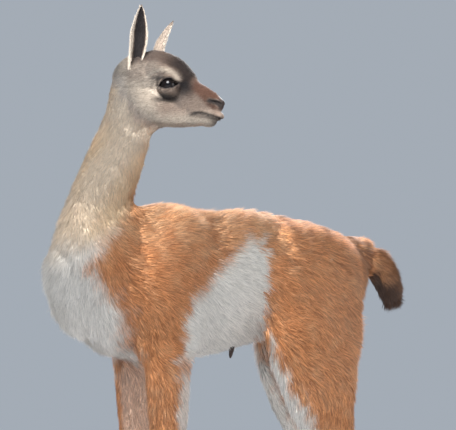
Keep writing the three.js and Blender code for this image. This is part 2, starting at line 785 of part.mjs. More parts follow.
// The legs' seats: flat cuts under the trunk, over each pair of legs
function seats(trunk) {
  for (const [x0, x1, cut] of [[-200, -30, LEGS.fore_left.cut], [60, 280, LEGS.hind_left.cut]]) {
    const block = new THREE.BoxGeometry(x1 - x0, 300, 400).translate((x0 + x1) / 2, 0, cut - 200);
    trunk = trunk.subtract(solid(block));
  }
  return trunk;
}

const envelope = torsoSolid(bodyField, { level: GAP });
node("torso", seats(woollyTorso()), looks.coat);
node("tail", tailSolid().subtract(envelope), looks.tail);
node("navel_stump", navelSolid(envelope), looks.cord);
node("neck", woollyNeck(), looks.neck);
node("head", headSolid(), looks.face);
for (const [name, s] of [["left", 1], ["right", -1]]) {
  node("ear_" + name, earSolid(s), looks.ear);
  const sphere = new THREE.SphereGeometry(EYE_RADIUS, 16, 10);
  node("eye_" + name, placed(sphere, eyeCentre(s), gaze(s), UP), looks.eye);
}
for (const [name, leg] of Object.entries(LEGS)) {
  node("leg_" + name, legSolid(leg), looks.coat);
  node("foot_" + name, footSolid(leg), looks.coat);
  node("nail_" + name + "_inner", nailSolid(leg, -leg.side), looks.nail);
  node("nail_" + name + "_outer", nailSolid(leg, leg.side), looks.nail);
}

// The origin is under the middle of the animal, on the floor
const box = new THREE.Box3().setFromObject(animal);
const middle = box.getCenter(vec(0, 0, 0));
for (const mesh of animal.children) mesh.geometry.translate(-middle.x, -middle.y, 0);

export default animal;
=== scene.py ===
"""A newborn guanaco with its woolly coat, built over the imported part. Run as a script in Blender 4.5."""

import math

import bmesh
import bpy
import numpy as np
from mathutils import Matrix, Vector


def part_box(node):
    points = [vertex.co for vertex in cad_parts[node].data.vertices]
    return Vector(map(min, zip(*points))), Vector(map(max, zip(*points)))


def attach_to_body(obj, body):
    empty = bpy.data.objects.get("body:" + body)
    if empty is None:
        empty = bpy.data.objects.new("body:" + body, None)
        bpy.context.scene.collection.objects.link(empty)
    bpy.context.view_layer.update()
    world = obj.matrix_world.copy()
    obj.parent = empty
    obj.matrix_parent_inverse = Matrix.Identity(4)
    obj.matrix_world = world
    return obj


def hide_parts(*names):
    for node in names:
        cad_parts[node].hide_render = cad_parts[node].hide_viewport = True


bl_info = {
    "name": "Young guanaco",
    "version": (1, 0, 0),
    "blender": (4, 5, 0),
    "location": "View3D > Sidebar > Guanaco",
    "description": "Skin, coat, eyes, ears and nails of a newborn guanaco, with its stage",
    "category": "Object",
}

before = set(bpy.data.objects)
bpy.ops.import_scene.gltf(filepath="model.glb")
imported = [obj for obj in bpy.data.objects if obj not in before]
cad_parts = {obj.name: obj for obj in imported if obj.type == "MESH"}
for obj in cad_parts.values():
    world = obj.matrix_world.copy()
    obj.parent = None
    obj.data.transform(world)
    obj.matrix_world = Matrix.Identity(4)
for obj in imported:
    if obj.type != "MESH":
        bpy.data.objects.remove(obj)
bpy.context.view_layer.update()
MM = 0.001

# Body plan in millimetres, the same as the part's, in the part's own frame before it is centred
WITHERS, TRUNK, RUMP_X = 700, 540, 248
HEAD_BASE = 780
TRUNK_TABLE = [
    (0.05, 0.92, 0.74, 0.082),
    (0.15, 0.947, 0.7, 0.113),
    (0.28, 0.973, 0.676, 0.12),
    (0.42, 0.98, 0.643, 0.123),
    (0.56, 0.984, 0.612, 0.124),
    (0.7, 0.993, 0.606, 0.121),
    (0.82, 0.972, 0.622, 0.109),
    (0.92, 0.9, 0.665, 0.08),
]
NECK = [
    (-212, 0, 585, 66, 58, 62),
    (-216, -2, 640, 60, 58, 64),
    (-208, -8, 692, 52, 56, 57),
    (-193, -18, 740, 45, 52, 52),
    (-178, -27, 786, 43, 48, 47),
    (-166, -35, 828, 43, 45, 46),
    (-160, -40, 866, 42, 43, 44),
    (-158, -42, 892, 38, 38, 38),
]
FORELEG = [
    (26, -4, 640, 26, 34, 30),
    (-8, 0, 560, 36, 50, 46),
    (6, 2, 490, 37, 50, 44),
    (0, 3, 440, 34, 43, 42),
    (0, 3, 390, 30, 39, 40),
    (1, 2, 310, 26, 33, 35),
    (0, 1, 262, 25, 30, 30),
    (0, 0, 228, 25, 30, 28),
    (1, 0, 196, 20, 23, 23),
    (1, 0, 140, 18, 20, 21),
    (2, 0, 96, 21, 22, 24),
    (-1, 0, 74, 22, 23, 25),
    (-8, 0, 46, 20, 22, 20),
]
HINDLEG = [
    (-12, -12, 606, 40, 62, 64),
    (-18, -4, 540, 44, 78, 82),
    (-22, 2, 480, 42, 84, 86),
    (-18, 3, 430, 38, 78, 80),
    (-8, 2, 380, 34, 68, 70),
    (6, 1, 330, 30, 54, 54),
    (22, 0, 292, 27, 40, 40),
    (33, 0, 256, 24, 31, 33),
    (34, 0, 222, 20, 25, 26),
    (30, 0, 150, 18, 21, 22),
    (28, 0, 98, 21, 23, 25),
    (25, 0, 76, 22, 24, 25),
    (17, 0, 46, 20, 22, 20),
]
LEGS = {
    "fore_left": (-110, -1, FORELEG),
    "fore_right": (-118, 1, FORELEG),
    "hind_left": (172, -1, HINDLEG),
    "hind_right": (200, 1, HINDLEG),
}
LEG_HALF_SPREAD = 60
TAIL = [
    (206, 2, 622, 22, 22, 26),
    (246, 3, 621, 26, 28, 31),
    (282, 4, 612, 29, 32, 33),
    (309, 5, 593, 28, 31, 31),
    (325, 6, 570, 24, 27, 27),
    (331, 6, 550, 17, 20, 20),
]
HEAD_YAW = math.radians(-44)
HEAD_CENTRE = np.array([-127.0, -66.0, 877.0])
FORWARD = np.array([math.cos(HEAD_YAW), math.sin(HEAD_YAW), 0.0])
LEFT = np.array([-FORWARD[1], FORWARD[0], 0.0])
UP = np.array([0.0, 0.0, 1.0])
EYE = (30, 28, -5)
EYE_RADIUS = 14
EAR_LENGTH = 117


def head_point(f, s, u):
    return HEAD_CENTRE + f * FORWARD + s * LEFT + u * UP


def unit(v):
    v = np.asarray(v, float)
    return v / np.maximum(np.linalg.norm(v, axis=-1, keepdims=True), 1e-9)


def smooth(t):
    t = np.clip(t, 0, 1)
    return t * t * (3 - 2 * t)


def mix(a, b, t):
    return a + (b - a) * t


def blend(a, b, width):
    h = np.maximum(width - np.abs(a - b), 0) / width
    return np.minimum(a, b) - h * h * width / 4


def spline(points, ts, tension=None):
    """A Catmull-Rom curve through the points, centripetal unless a tension is given."""
    p = np.asarray(points, float)
    p = np.vstack([2 * p[0] - p[1], p, 2 * p[-1] - p[-2]])
    out = []
    for t in ts:
        at = t * (len(points) - 1)
        i = min(int(at), len(points) - 2)
        w = at - i
        a, b, c, d = p[i : i + 4]
        if tension is None:
            ab, bc, cd = [max(np.linalg.norm(v) ** 0.5, 1e-4) for v in (b - a, c - b, d - c)]
            m1 = ((b - a) / ab - (c - a) / (ab + bc) + (c - b) / bc) * bc
            m2 = ((c - b) / bc - (d - b) / (bc + cd) + (d - c) / cd) * bc
        else:
            m1, m2 = tension * (c - a), tension * (d - b)
        h = (2 * w**3 - 3 * w**2 + 1, w**3 - 2 * w**2 + w, -2 * w**3 + 3 * w**2, w**3 - w**2)
        out.append(h[0] * b + h[1] * m1 + h[2] * c + h[3] * m2)
    return np.array(out)


FAR = 90.0


class Tube:
    """A tapered tube through stations (x, y, z, half width, half depth ahead, half depth behind)."""

    def __init__(self, stations, across=(0, 1, 0), ahead=(0, 0, 1), steps=3, cap=0.9):
        s = np.asarray(stations, float)
        ts = np.linspace(0, 1, (len(s) - 1) * steps + 1)
        self.path = spline(s[:, :3], ts)
        self.sizes = spline(s[:, 3:], ts, 0.4)
        self.cap = cap
        self.across, self.ahead = np.asarray(across, float), np.asarray(ahead, float)
        reach = self.sizes.max() + FAR
        self.low, self.high = self.path.min(0) - reach, self.path.max(0) + reach

    def __call__(self, p):
        out = np.full(len(p), FAR)
        inside = np.nonzero(((p > self.low) & (p < self.high)).all(1))[0]
        if not len(inside):
            return out
        q0 = p[inside]
        best = np.full(len(q0), 1e9)
        for a, b, from_, to in zip(self.path, self.path[1:], self.sizes, self.sizes[1:]):
            length = np.linalg.norm(b - a)
            axis = (b - a) / length
            side = unit(self.across - axis * self.across.dot(axis))
            front = np.cross(axis, side)
            if front.dot(self.ahead) < 0:
                front = -front
            q = q0 - a
            along = q @ axis
            near = np.clip(along, 0, length)
            t = near / length
            q = q - near[:, None] * axis
            w = mix(from_[0], to[0], t)
            deep = q @ front
            d = np.where(deep > 0, mix(from_[1], to[1], t), mix(from_[2], to[2], t))
            small = np.minimum(w, d)
            r = np.sqrt((q @ side / w) ** 2 + (deep / d) ** 2 + ((along - near) / (self.cap * small)) ** 2)
            size = np.sqrt((q * q).sum(1))
            best = np.minimum(best, np.where(r > 1e-6, size * (1 - 1 / np.maximum(r, 1e-6)), -small))
        out[inside] = np.minimum(best, FAR)
        return out


def ball(p, c, radii):
    q = p - np.asarray(c, float)
    r = np.sqrt(((q / np.asarray(radii, float)) ** 2).sum(1))
    return np.sqrt((q * q).sum(1)) * (1 - 1 / np.maximum(r, 1e-6))


def trunk_stations():
    rows = []
    for share, top, bottom, half in TRUNK_TABLE:
        middle = mix(bottom, top, 0.52) * WITHERS
        depths = (top * WITHERS - middle, middle - bottom * WITHERS)
        rows.append((RUMP_X - share * TRUNK, 0, middle, half * WITHERS, *depths))
    return rows


trunk_tube = Tube(trunk_stations())
neck_tube = Tube(NECK, across=(0.25, 1, 0), ahead=(1, 0, 0), cap=0.8)
tail_tube = Tube(TAIL, ahead=(0.3, 0, 1))


def leg_stations(x, side, table):
    return [(x + r[0], side * (LEG_HALF_SPREAD + r[1]), r[2], r[3], r[4], r[5]) for r in table]


leg_tubes = {n: Tube(leg_stations(*v), ahead=(-1, 0, 0)) for n, v in LEGS.items()}


def toe_roots():
    for name, (x, side, table) in LEGS.items():
        for way in (-1, 1):
            yield name, x + table[-1][0], side * (LEG_HALF_SPREAD + table[-1][1]) + way * 11, way


def toe_stations(x, y, way):
    return [
        (x + 4, y, 32, 11, 12, 22),
        (x - 10, y + way * 1.5, 22, 12, 14, 28),
        (x - 25, y + way * 3, 15, 11.5, 12, 22),
        (x - 36, y + way * 3.5, 10, 9, 9, 14),
    ]


toe_tubes = [Tube(toe_stations(x, y, way), ahead=(0, 0, 1)) for _, x, y, way in toe_roots()]

skull = Tube([
    (-34, 0, 20, 33, 34, 42),
    (-8, 0, 18, 38, 44, 46),
    (18, 0, 12, 38, 40, 40),
    (36, 0, 4, 31, 32, 36),
    (52, 0, -9, 23, 23, 29),
    (66, 0, -22, 18, 19, 24),
])
muzzle = Tube([
    (58, 0, -31, 22, 30, 30),
    (78, 0, -34, 18, 29, 27),
    (92, 0, -38, 16.5, 24, 22),
    (100, 0, -43, 13.5, 19, 18),
])
gullet = Tube([
    (-24, 0, -24, 30, 26, 44),
    (14, 0, -36, 26, 26, 34),
    (52, 0, -46, 17, 22, 22),
    (88, 0, -55, 11, 12, 14),
])
paired = []
for side in (-1, 1):
    paired.append(Tube([
        (6, 28 * side, 22, 10, 9, 9),
        (24, 31 * side, 21, 10, 9, 9),
        (40, 22 * side, 6, 7, 6, 6),
    ]))
    paired.append(Tube([
        (-16, 24 * side, -36, 17, 26, 26),
        (14, 19 * side, -48, 14, 20, 20),
        (50, 13 * side, -57, 10, 13, 14),
        (82, 6 * side, -62, 8, 8, 9),
        (94, 3 * side, -64, 7, 6, 7),
    ]))
    paired.append(Tube([
        (70, 15 * side, -51, 5, 5, 5),
        (90, 14 * side, -53, 6, 6, 6),
        (104, 9 * side, -56, 7, 7, 7),
        (110, 4 * side, -57, 7, 6, 7),
    ]))


def head_local(p):
    q = p - HEAD_CENTRE
    return np.stack([q @ FORWARD, q @ LEFT, q[:, 2]], 1)


def head_field(p):
    out = np.full(len(p), FAR)
    near = np.nonzero(np.linalg.norm(p - head_point(30, 0, -15), axis=1) < 175)[0]
    if not len(near):
        return out
    q = head_local(p[near])
    d = blend(blend(skull(q), muzzle(q), 14), gullet(q), 14)
    for part in paired:
        d = blend(d, part(q), 8)
    for s in (-1, 1):
        d = blend(d, ball(q, (EYE[0], 24 * s, EYE[2]), (22, 16, 18)), 8)
        d = blend(d, ball(q, (105, 6 * s, -36.5), (12, 7.5, 10)), 8)
    d = blend(d, ball(q, (90, 0, -65), (12, 10, 8.5)), 8)
    out[near] = np.minimum(d, FAR)
    return out


def below_head(p):
    normal = unit(0.79 * FORWARD + 0.61 * UP)
    return -((p - head_point(-34, 0, -27)) @ normal)


def body_field(p):
    """The coat's outer form: the distance to it in millimetres, negative inside."""
    trunk, neck = trunk_tube(p), neck_tube(p)
    head = head_field(p)
    body = blend(trunk, neck, 40)
    for tube in leg_tubes.values():
        body = blend(body, tube(p), 54)
    d = np.minimum(blend(trunk, blend(head, neck, 26), 40), body)
    d = blend(d, tail_tube(p), 24)
    low = p[:, 2] < 110
    toes = np.full(int(low.sum()), FAR)
    for tube in toe_tubes:
        toes = np.minimum(toes, tube(p[low]))
    d[low] = blend(d[low], toes, 6)
    return d


def coat_depth(p):
    """How deep the skin lies under the coat's outer form."""
    z = p[:, 2]
    trunk = mix(4.5, 13.5, smooth((z - 400) / 120))
    legs = mix(1.2, 4.5, smooth((z - 60) / 240))
    depth = np.where(z < 400, legs, trunk)
    depth = mix(depth, 8.0, smooth((z - 690) / 90) * (p[:, 0] < -60))
    depth = mix(2.4, depth, smooth((below_head(p) + 5) / 60))
    depth = np.where(z > HEAD_BASE, np.where(head_local(p)[:, 0] > 60, np.minimum(depth, 1.6), depth), depth)
    return mix(depth, 12.0, smooth((p[:, 0] - 262) / 20) * (z > 480))


def eye_axes(s):
    gaze = unit(0.33 * FORWARD + s * LEFT + 0.02 * UP)
    rise = unit(-0.1 * FORWARD + UP - gaze * (gaze @ (-0.1 * FORWARD + UP)))
    return head_point(EYE[0], EYE[1] * s, EYE[2]), gaze, rise, np.cross(rise, gaze)


def eye_opening(p, s):
    """Inside the almond between the lids this is negative."""
    centre, gaze, rise, along = eye_axes(s)
    q = p - centre
    a, b, g = q @ along, q @ rise, q @ gaze
    a = a * (1 if along @ FORWARD > 0 else -1)
    half = np.where(b > 0, 9.4, 6.6) * np.clip(1 - np.abs(a / 16.5) ** 2.2, 0, 1)
    return np.where(g > 0, np.abs(b) - half, 30.0)


nostrils = [
    Tube([
        (97, 14 * s, -32, 2.6, 1.2, 1.2),
        (107, 12.5 * s, -35, 3.4, 2.2, 2.2),
        (115, 9 * s, -40, 4.0, 3.6, 3.6),
    ])
    for s in (-1, 1)
]


def mouth_line(f):
    """How high the line between the lips is, from the corner of the mouth to the front."""
    return np.interp(f, [67, 74, 82, 94, 105, 113, 130], [-55, -52, -52, -55, -59, -62.5, -67])


def features(p, d):
    """Lids, nostrils and the line of the mouth, cut into or put on the skin."""
    near = np.nonzero(np.linalg.norm(p - head_point(60, 0, -20), axis=1) < 110)[0]
    q, e = p[near], d[near]
    for s in (-1, 1):
        centre = eye_axes(s)[0]
        r = np.linalg.norm(q - centre, axis=1)
        e = blend(e, r - (EYE_RADIUS + 2.6), 5)
        e = np.maximum(e, -np.maximum(eye_opening(q, s), EYE_RADIUS - 1.5 - r))
    h = head_local(q)
    for nostril in nostrils:
        e = np.maximum(e, -nostril(h))
    slab = np.abs(h[:, 2] - mouth_line(h[:, 0])) - 0.8
    shallow = np.where((h[:, 0] > 67) & (h[:, 0] < 130), np.maximum(slab, -(e + 3.6)), 30.0)
    e = np.maximum(e, -shallow)
    d[near] = e
    return d


def skin_field(p):
    d = body_field(p) + coat_depth(p)
    d = features(p, d)
    return np.maximum(d, 0.4 - p[:, 2])


def lines(low, high, fine_low, fine_high, coarse, fine):
    return np.concatenate([
        np.arange(low, fine_low, coarse),
        np.arange(fine_low, fine_high, fine),
        np.arange(fine_high, high, coarse),
    ])


def sample(xs, ys, zs, step=4):
    """The skin's field on a grid, worked out in full only in the blocks near the surface."""
    n = [len(a) for a in (xs, ys, zs)]
    pick = [np.append(np.arange(0, m - 1, step), m - 1) for m in n]
    grid = np.stack(np.meshgrid(xs[pick[0]], ys[pick[1]], zs[pick[2]], indexing="ij"), -1)
    rough = skin_field(grid.reshape(-1, 3)).reshape(grid.shape[:3])
    near = np.abs(rough) < 44
    block = np.zeros([k - 1 for k in near.shape], bool)
    for i in (0, 1):
        for j in (0, 1):
            for k in (0, 1):
                shape = block.shape
                block |= near[i : i + shape[0], j : j + shape[1], k : k + shape[2]]
    which = [np.minimum(np.arange(m) // step, len(q) - 2) for m, q in zip(n, pick)]
    value = np.where(rough[:-1, :-1, :-1] < 0, -FAR, FAR)[np.ix_(*which)].astype(np.float32)
    mask = block[np.ix_(*which)]
    # points on a block's upper faces belong to the next block too
    for axis in range(3):
        mask = mask | np.roll(mask, 1, axis)
    at = np.nonzero(mask)
    for part in np.array_split(np.arange(len(at[0])), max(1, len(at[0]) // 200000)):
        i, j, k = (a[part] for a in at)
        value[i, j, k] = skin_field(np.stack([xs[i], ys[j], zs[k]], 1))
    return value


def surface(xs, ys, zs, value):
    """Quads through the cells where the field changes sign. A cell's point is the mean of its crossings."""
    sign = value < 0
    cells = np.zeros([k - 1 for k in value.shape], np.int8)
    offsets = [(i, j, k) for i in (0, 1) for j in (0, 1) for k in (0, 1)]
    shape = cells.shape
    for i, j, k in offsets:
        cells += sign[i : i + shape[0], j : j + shape[1], k : k + shape[2]]
    ci, cj, ck = np.nonzero((cells > 0) & (cells < 8))
    total, count = np.zeros((len(ci), 3)), np.zeros(len(ci))
    for a in offsets:
        for axis in range(3):
            if a[axis]:
                continue
            b = list(a)
            b[axis] = 1
            va = value[ci + a[0], cj + a[1], ck + a[2]].astype(float)
            vb = value[ci + b[0], cj + b[1], ck + b[2]].astype(float)
            hit = (va < 0) != (vb < 0)
            t = np.where(hit, va / np.where(hit, va - vb, 1), 0)
            pa = np.stack([xs[ci + a[0]], ys[cj + a[1]], zs[ck + a[2]]], 1)
            pb = np.stack([xs[ci + b[0]], ys[cj + b[1]], zs[ck + b[2]]], 1)
            total += np.where(hit[:, None], pa + t[:, None] * (pb - pa), 0)
            count += hit
    points = total / count[:, None]
    index = np.full(shape, -1, np.int64)
    index[ci, cj, ck] = np.arange(len(ci))
    quads = []
    for axis in range(3):
        u, v = (axis + 1) % 3, (axis + 2) % 3
        first = [slice(None)] * 3
        second = [slice(None)] * 3
        first[axis], second[axis] = slice(0, -1), slice(1, None)
        change = sign[tuple(first)] != sign[tuple(second)]
        at = np.array(np.nonzero(change))
        keep = (at[u] > 0) & (at[v] > 0) & (at[u] < value.shape[u] - 1) & (at[v] < value.shape[v] - 1)
        at = at[:, keep]
        corner = []
        for du, dv in ((-1, -1), (0, -1), (0, 0), (-1, 0)):
            c = at.copy()
            c[u] += du
            c[v] += dv
            corner.append(index[tuple(c)])
        quad = np.stack(corner, 1)
        flip = ~sign[tuple(at)]
        quad[flip] = quad[flip][:, ::-1]
        quads.append(quad)
    quads = np.concatenate(quads)
    return points, quads[(quads >= 0).all(1)]


def gradient(field, p, e=0.6):
    out = np.zeros_like(p)
    for axis in range(3):
        step = np.zeros(3)
        step[axis] = e
        out[:, axis] = (field(p + step) - field(p - step)) / (2 * e)
    return out


def centre_shift():
    """From the body plan's frame to the row frame, found from where the left eye is."""
    low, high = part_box("eye_left")
    eye = np.array((low + high) / 2) / MM
    shift = eye - head_point(EYE[0], EYE[1], EYE[2])
    shift[2] = 0
    return shift


SHIFT = centre_shift()


def to_row(p):
    return (np.asarray(p) + SHIFT) * MM


def new_mesh(name, points, faces, smooth_shading=True):
    mesh = bpy.data.meshes.new(name)
    faces = np.asarray(faces)
    sides = faces.shape[1]
    mesh.vertices.add(len(points))
    mesh.vertices.foreach_set("co", np.asarray(points, np.float32).ravel())
    mesh.loops.add(faces.size)
    mesh.loops.foreach_set("vertex_index", faces.astype(np.int32).ravel())
    mesh.polygons.add(len(faces))
    mesh.polygons.foreach_set("loop_start", np.arange(0, faces.size, sides, dtype=np.int32))
    mesh.update(calc_edges=True)
    mesh.validate()
    mesh.polygons.foreach_set("use_smooth", np.full(len(mesh.polygons), smooth_shading))
    return mesh


def put(name, mesh, material=None):
    obj = bpy.data.objects.new(name, mesh)
    bpy.context.scene.collection.objects.link(obj)
    if material:
        mesh.materials.append(material)
    return obj


def give(mesh, name, values, kind="FLOAT", domain="POINT"):
    attribute = mesh.attributes.get(name) or mesh.attributes.new(name, kind, domain)
    key = "vector" if kind == "FLOAT_VECTOR" else "value"
    attribute.data.foreach_set(key, np.asarray(values, np.float32).ravel())


def fetch(items, key, size=1, kind=np.float32):
    data = np.zeros(len(items) * size, kind)
    items.foreach_get(key, data)
    return data.reshape(-1, size) if size > 1 else data


def read(mesh, name, size=1):
    return fetch(mesh.attributes[name].data, "vector" if size == 3 else "value", size)


def change(mesh, work):
    """Runs work on the mesh's editable form."""
    b = bmesh.new()
    b.from_mesh(mesh)
    work(b)
    b.to_mesh(mesh)
    b.free()


def outward(mesh):
    change(mesh, lambda b: bmesh.ops.recalc_face_normals(b, faces=b.faces))


# Markings and the lie of the hair, from where a point is on the body

def near_tail(p):
    return smooth((p[:, 0] - 238) / 22) * (np.abs(p[:, 1]) < 60) * (p[:, 2] > 480)


MOTTLE_WAVES = ((1, 0.7, 0.3), (-0.6, 1, 0.5), (0.4, -0.8, 1), (1.7, 0.9, -1.2), (-1.3, 1.9, 0.8))


def mottle(p, size, seed=0):
    """A smooth made-up noise between 0 and 1."""
    q = p / size + seed * 7.3
    wave = np.zeros(len(p))
    for k, (a, b, c) in enumerate(MOTTLE_WAVES):
        wave += np.sin(a * q[:, 0] + b * q[:, 1] + c * q[:, 2] + 1.9 * k + 1.3 * np.sin(q[:, (k + 1) % 3]))
    return 0.5 + wave / 10


# Edges of the markings in millimetres: a place along the body or the head, and where the edge is there
FLANK_TOP = ([-110, -92, -80, -61, 6, 26, 48, 58, 68, 90], [400, 500, 532, 540, 606, 632, 630, 600, 480, 440])
CHEST_BACK = (
    [400, 420, 450, 513, 559, 575, 595, 632, 663, 692],
    [-150, -162, -177, -188, -232, -247, -229, -209, -192, -180],
)
THIGH_FRONT = ([60, 200, 250, 311, 343, 374, 428, 483, 540], [178, 186, 184, 152, 130, 110, 84, 68, 58])
RUST_BELOW = ([62, 78, 92, 104, 114], [-14, -24, -40, -50, -50])
NECK_LEVELS = [585, 640, 692, 740, 786, 828, 892]
ABOVE_NECK = 770


def trunk_white(p, q, n):
    """White under a line that climbs the flank, on the chest, and down the insides of the legs."""
    x, y, z = q.T
    flank = smooth((np.interp(x, *FLANK_TOP) - z + 16) / 34)
    white = np.maximum(flank, smooth((np.interp(z, *CHEST_BACK) - x + 14) / 34))
    belly = smooth((-n[:, 2] - 0.5) / 0.3) * (z > 400) * (x < 110) * smooth((48 - np.abs(y)) / 12)
    white = np.maximum(white, belly * (z < 520))
    fore = (x < -20) & (z < 455)
    hind = (x > 40) & (z < 540)
    inner = smooth((-n[:, 1] * np.sign(p[:, 1]) - 0.1) / 0.5)
    front = np.where(y < 0, 0, 28) + np.interp(z, *THIGH_FRONT)
    hem = smooth((front - x + 11) / 22)
    leg_white = np.where(hind, np.maximum(inner * 0.35, hem * (z > 120)), inner * 0.35)
    strips = np.maximum(
        smooth((x + 104) / 12) * smooth((425 - z) / 40),
        0.8 * smooth((-154 - x) / 8) * (z > 250),
    )
    leg_white = np.where(fore, np.maximum(inner * 0.35, strips * 0.8), leg_white)
    fore_weight = smooth((440 - z) / 30) * smooth((x + 182) / 16)
    hind_weight = smooth((540 - z) / 30) * smooth((x - 58) / 10)
    white = mix(white, leg_white, np.where(fore, fore_weight, hind_weight) * (fore | hind))
    return white * (1 - near_tail(q))


def nape_facing(x, y, z):
    """How far a point of the neck faces the tan stripe, which turns with it from the withers to the nape."""
    turn = np.interp(z, [600, 680, 860], [0.0, 0.35, 2.37])
    rows = [*NECK[:6], NECK[7]]
    centre_x, centre_y = (np.interp(z, NECK_LEVELS, [r[k] for r in rows]) for k in (0, 1))
    radial = unit(np.stack([x - centre_x, y - centre_y], 1))
    return radial[:, 0] * np.cos(turn) + radial[:, 1] * np.sin(turn)


def face_marks(p, z):
    """Grey crown, a dark band before the eye and a dark patch below it, rust on the muzzle, and painted shade
    on the front of the face, in the nostrils and on the tip of the nose.
    """
    head = head_local(p)
    f, s, u = head.T
    hs = np.abs(s)
    hairline = mix(30, 12, smooth((f - 10) / 40))
    crown = smooth((u - hairline) / 14) * smooth((62 - f) / 14) * smooth((f + 52) / 30)
    # painted shade down the front of the forehead, over the grey crown
    crown = np.maximum(crown, smooth((28 - hs) / 8) * smooth((f - 22) / 14) * smooth((72 - f) / 9) * (u > -8))
    ring = np.exp(-((np.hypot((f - 24) / 1.25, u - 1) - 20) / 5) ** 2) * (hs > 17) * smooth((u + 2) / 8)
    under = np.exp(-(((f - 28) / 19) ** 4 + ((u + 25) / 7.5) ** 4)) * (hs > 12)
    band = np.exp(-(((f - 56 + 0.3 * u) / 13) ** 4 + ((u - 1) / 25) ** 4)) * smooth((38 - hs) / 6)
    rim = np.zeros(len(p))
    near = np.nonzero(z > ABOVE_NECK)[0]
    for way in (-1, 1):
        centre = eye_axes(way)[0]
        close = near[np.linalg.norm(p[near] - centre, axis=1) < 28]
        rim[close] = np.maximum(rim[close], smooth((4.4 - eye_opening(p[close], way)) / 3.2))
    lid_line = np.exp(-(((f - 20) / 17) ** 4 + ((u - 8 + 0.1 * (f - 20)) / 3.4) ** 4)) * (hs > 24)
    # painted shade in the nostril openings and just round them
    nose = np.zeros(len(p))
    ahead = np.nonzero((f > 85) & (z > ABOVE_NECK))[0]
    for nostril in nostrils:
        nose[ahead] = np.maximum(nose[ahead], smooth((4.5 - nostril(head[ahead])) / 4.0))
    lip = np.exp(-((np.abs(u - mouth_line(f)) / 2.6) ** 2)) * smooth((f - 64) / 8) * (f < 130)
    snout = smooth((f - 96) / 14) * smooth((-46 - u) / 8)
    # painted shade on the front of the nose tip
    tip = smooth((f - 106) / 8) * smooth((u + 52) / 6)
    chin = smooth((f - 88) / 16) * smooth((-57 - u) / 6)
    # the crown's grey darkens towards the front of the face with painted shade
    mask = np.maximum(crown * mix(0.3, 0.9, smooth((f - 12) / 36)), np.maximum(under * 0.88, band))
    dark = np.maximum(mask, np.maximum(rim, lid_line * 0.75))
    dark = np.maximum(dark * (1 - ring * 0.85 * (rim < 0.1)), np.maximum(nose * 0.95, lip * 0.95))
    dark = np.maximum(dark, np.maximum(tip * 0.8, chin * 0.65))
    rust = smooth((f - 62) / 12) * smooth((u - np.interp(f, *RUST_BELOW) + 4) / 13)
    rust = np.maximum(rust * 0.85 * (1 - nose), snout * 0.5)
    temple = smooth((u + 4) / 20) * smooth((f + 48) / 20)
    # painted shade: the front of the cheeks turns from pale to grey
    cheek_front_shade = smooth((f - 2) / 26) * smooth((u + 66) / 22)
    white = mix(0.9, 0.12, np.maximum(crown, band)) * (1 - 0.7 * np.maximum(cheek_front_shade, 0.6 * temple))
    return dark, rust, np.maximum(white, 0.85 * ring)


def marks(p, n):
    """Masks on the skin: pale, white, dark, rust and grey. The dark mask also holds painted shade on the face
    and under the tail, and the white one is lowered for painted shade on the front of the cheeks. The rest is
    cinnamon.
    """
    q = p + (mottle(p, 7, 1)[:, None] - 0.5) * mix(9, 30, smooth((p[:, 2:3] - 260) / 200))
    x, y, z = q.T
    on_head = smooth((12 - below_head(q)) / 30) * (z > ABOVE_NECK)
    on_neck = smooth(((z - 628) * 0.78 - (x + 214) * 0.62 + 22) / 40) * (1 - on_head) * (x < -90)
    facing = nape_facing(x, y, z)
    nape = smooth((facing - 0.05) / 0.7)
    throat = smooth((-0.2 - facing) / 0.8)
    high = smooth((z - 760) / 80)
    neck_white = mix(mix(0.12, 0.42, throat), 0.5, high) * (1 - nape * mix(0.9, 0.35, high))
    low = smooth((z - 560) / 90)
    white = mix(trunk_white(p, q, n), neck_white, on_neck * low)
    neck_pale = on_neck * mix(1.0, mix(0.45, 0.9, smooth((z - 680) / 90)), nape)
    back_pale = 0.25 * low * smooth((140 - x) / 80) * (1 - on_head)
    pale = 0.5 * (mottle(p, 6, 5) - 0.45) * (1 - on_head) + np.maximum(neck_pale, back_pale)
    face_dark, face_rust, face_white = face_marks(p, z)
    white = mix(white, face_white, on_head)
    pale = mix(pale, 0.1, on_head)
    # darker towards the end of the tail, and painted shade on the tail's underside where it faces down
    tail_dark_and_underside_shade = smooth((x - 292) / 40) * 0.75 + smooth((0.1 - n[:, 2]) / 0.8) * 0.7
    dark = np.maximum(face_dark * on_head, near_tail(q) * np.clip(tail_dark_and_underside_shade, 0.25, 0.9))
    return np.clip(np.stack([pale, white, dark, face_rust * on_head, on_head], 1), 0, 1)


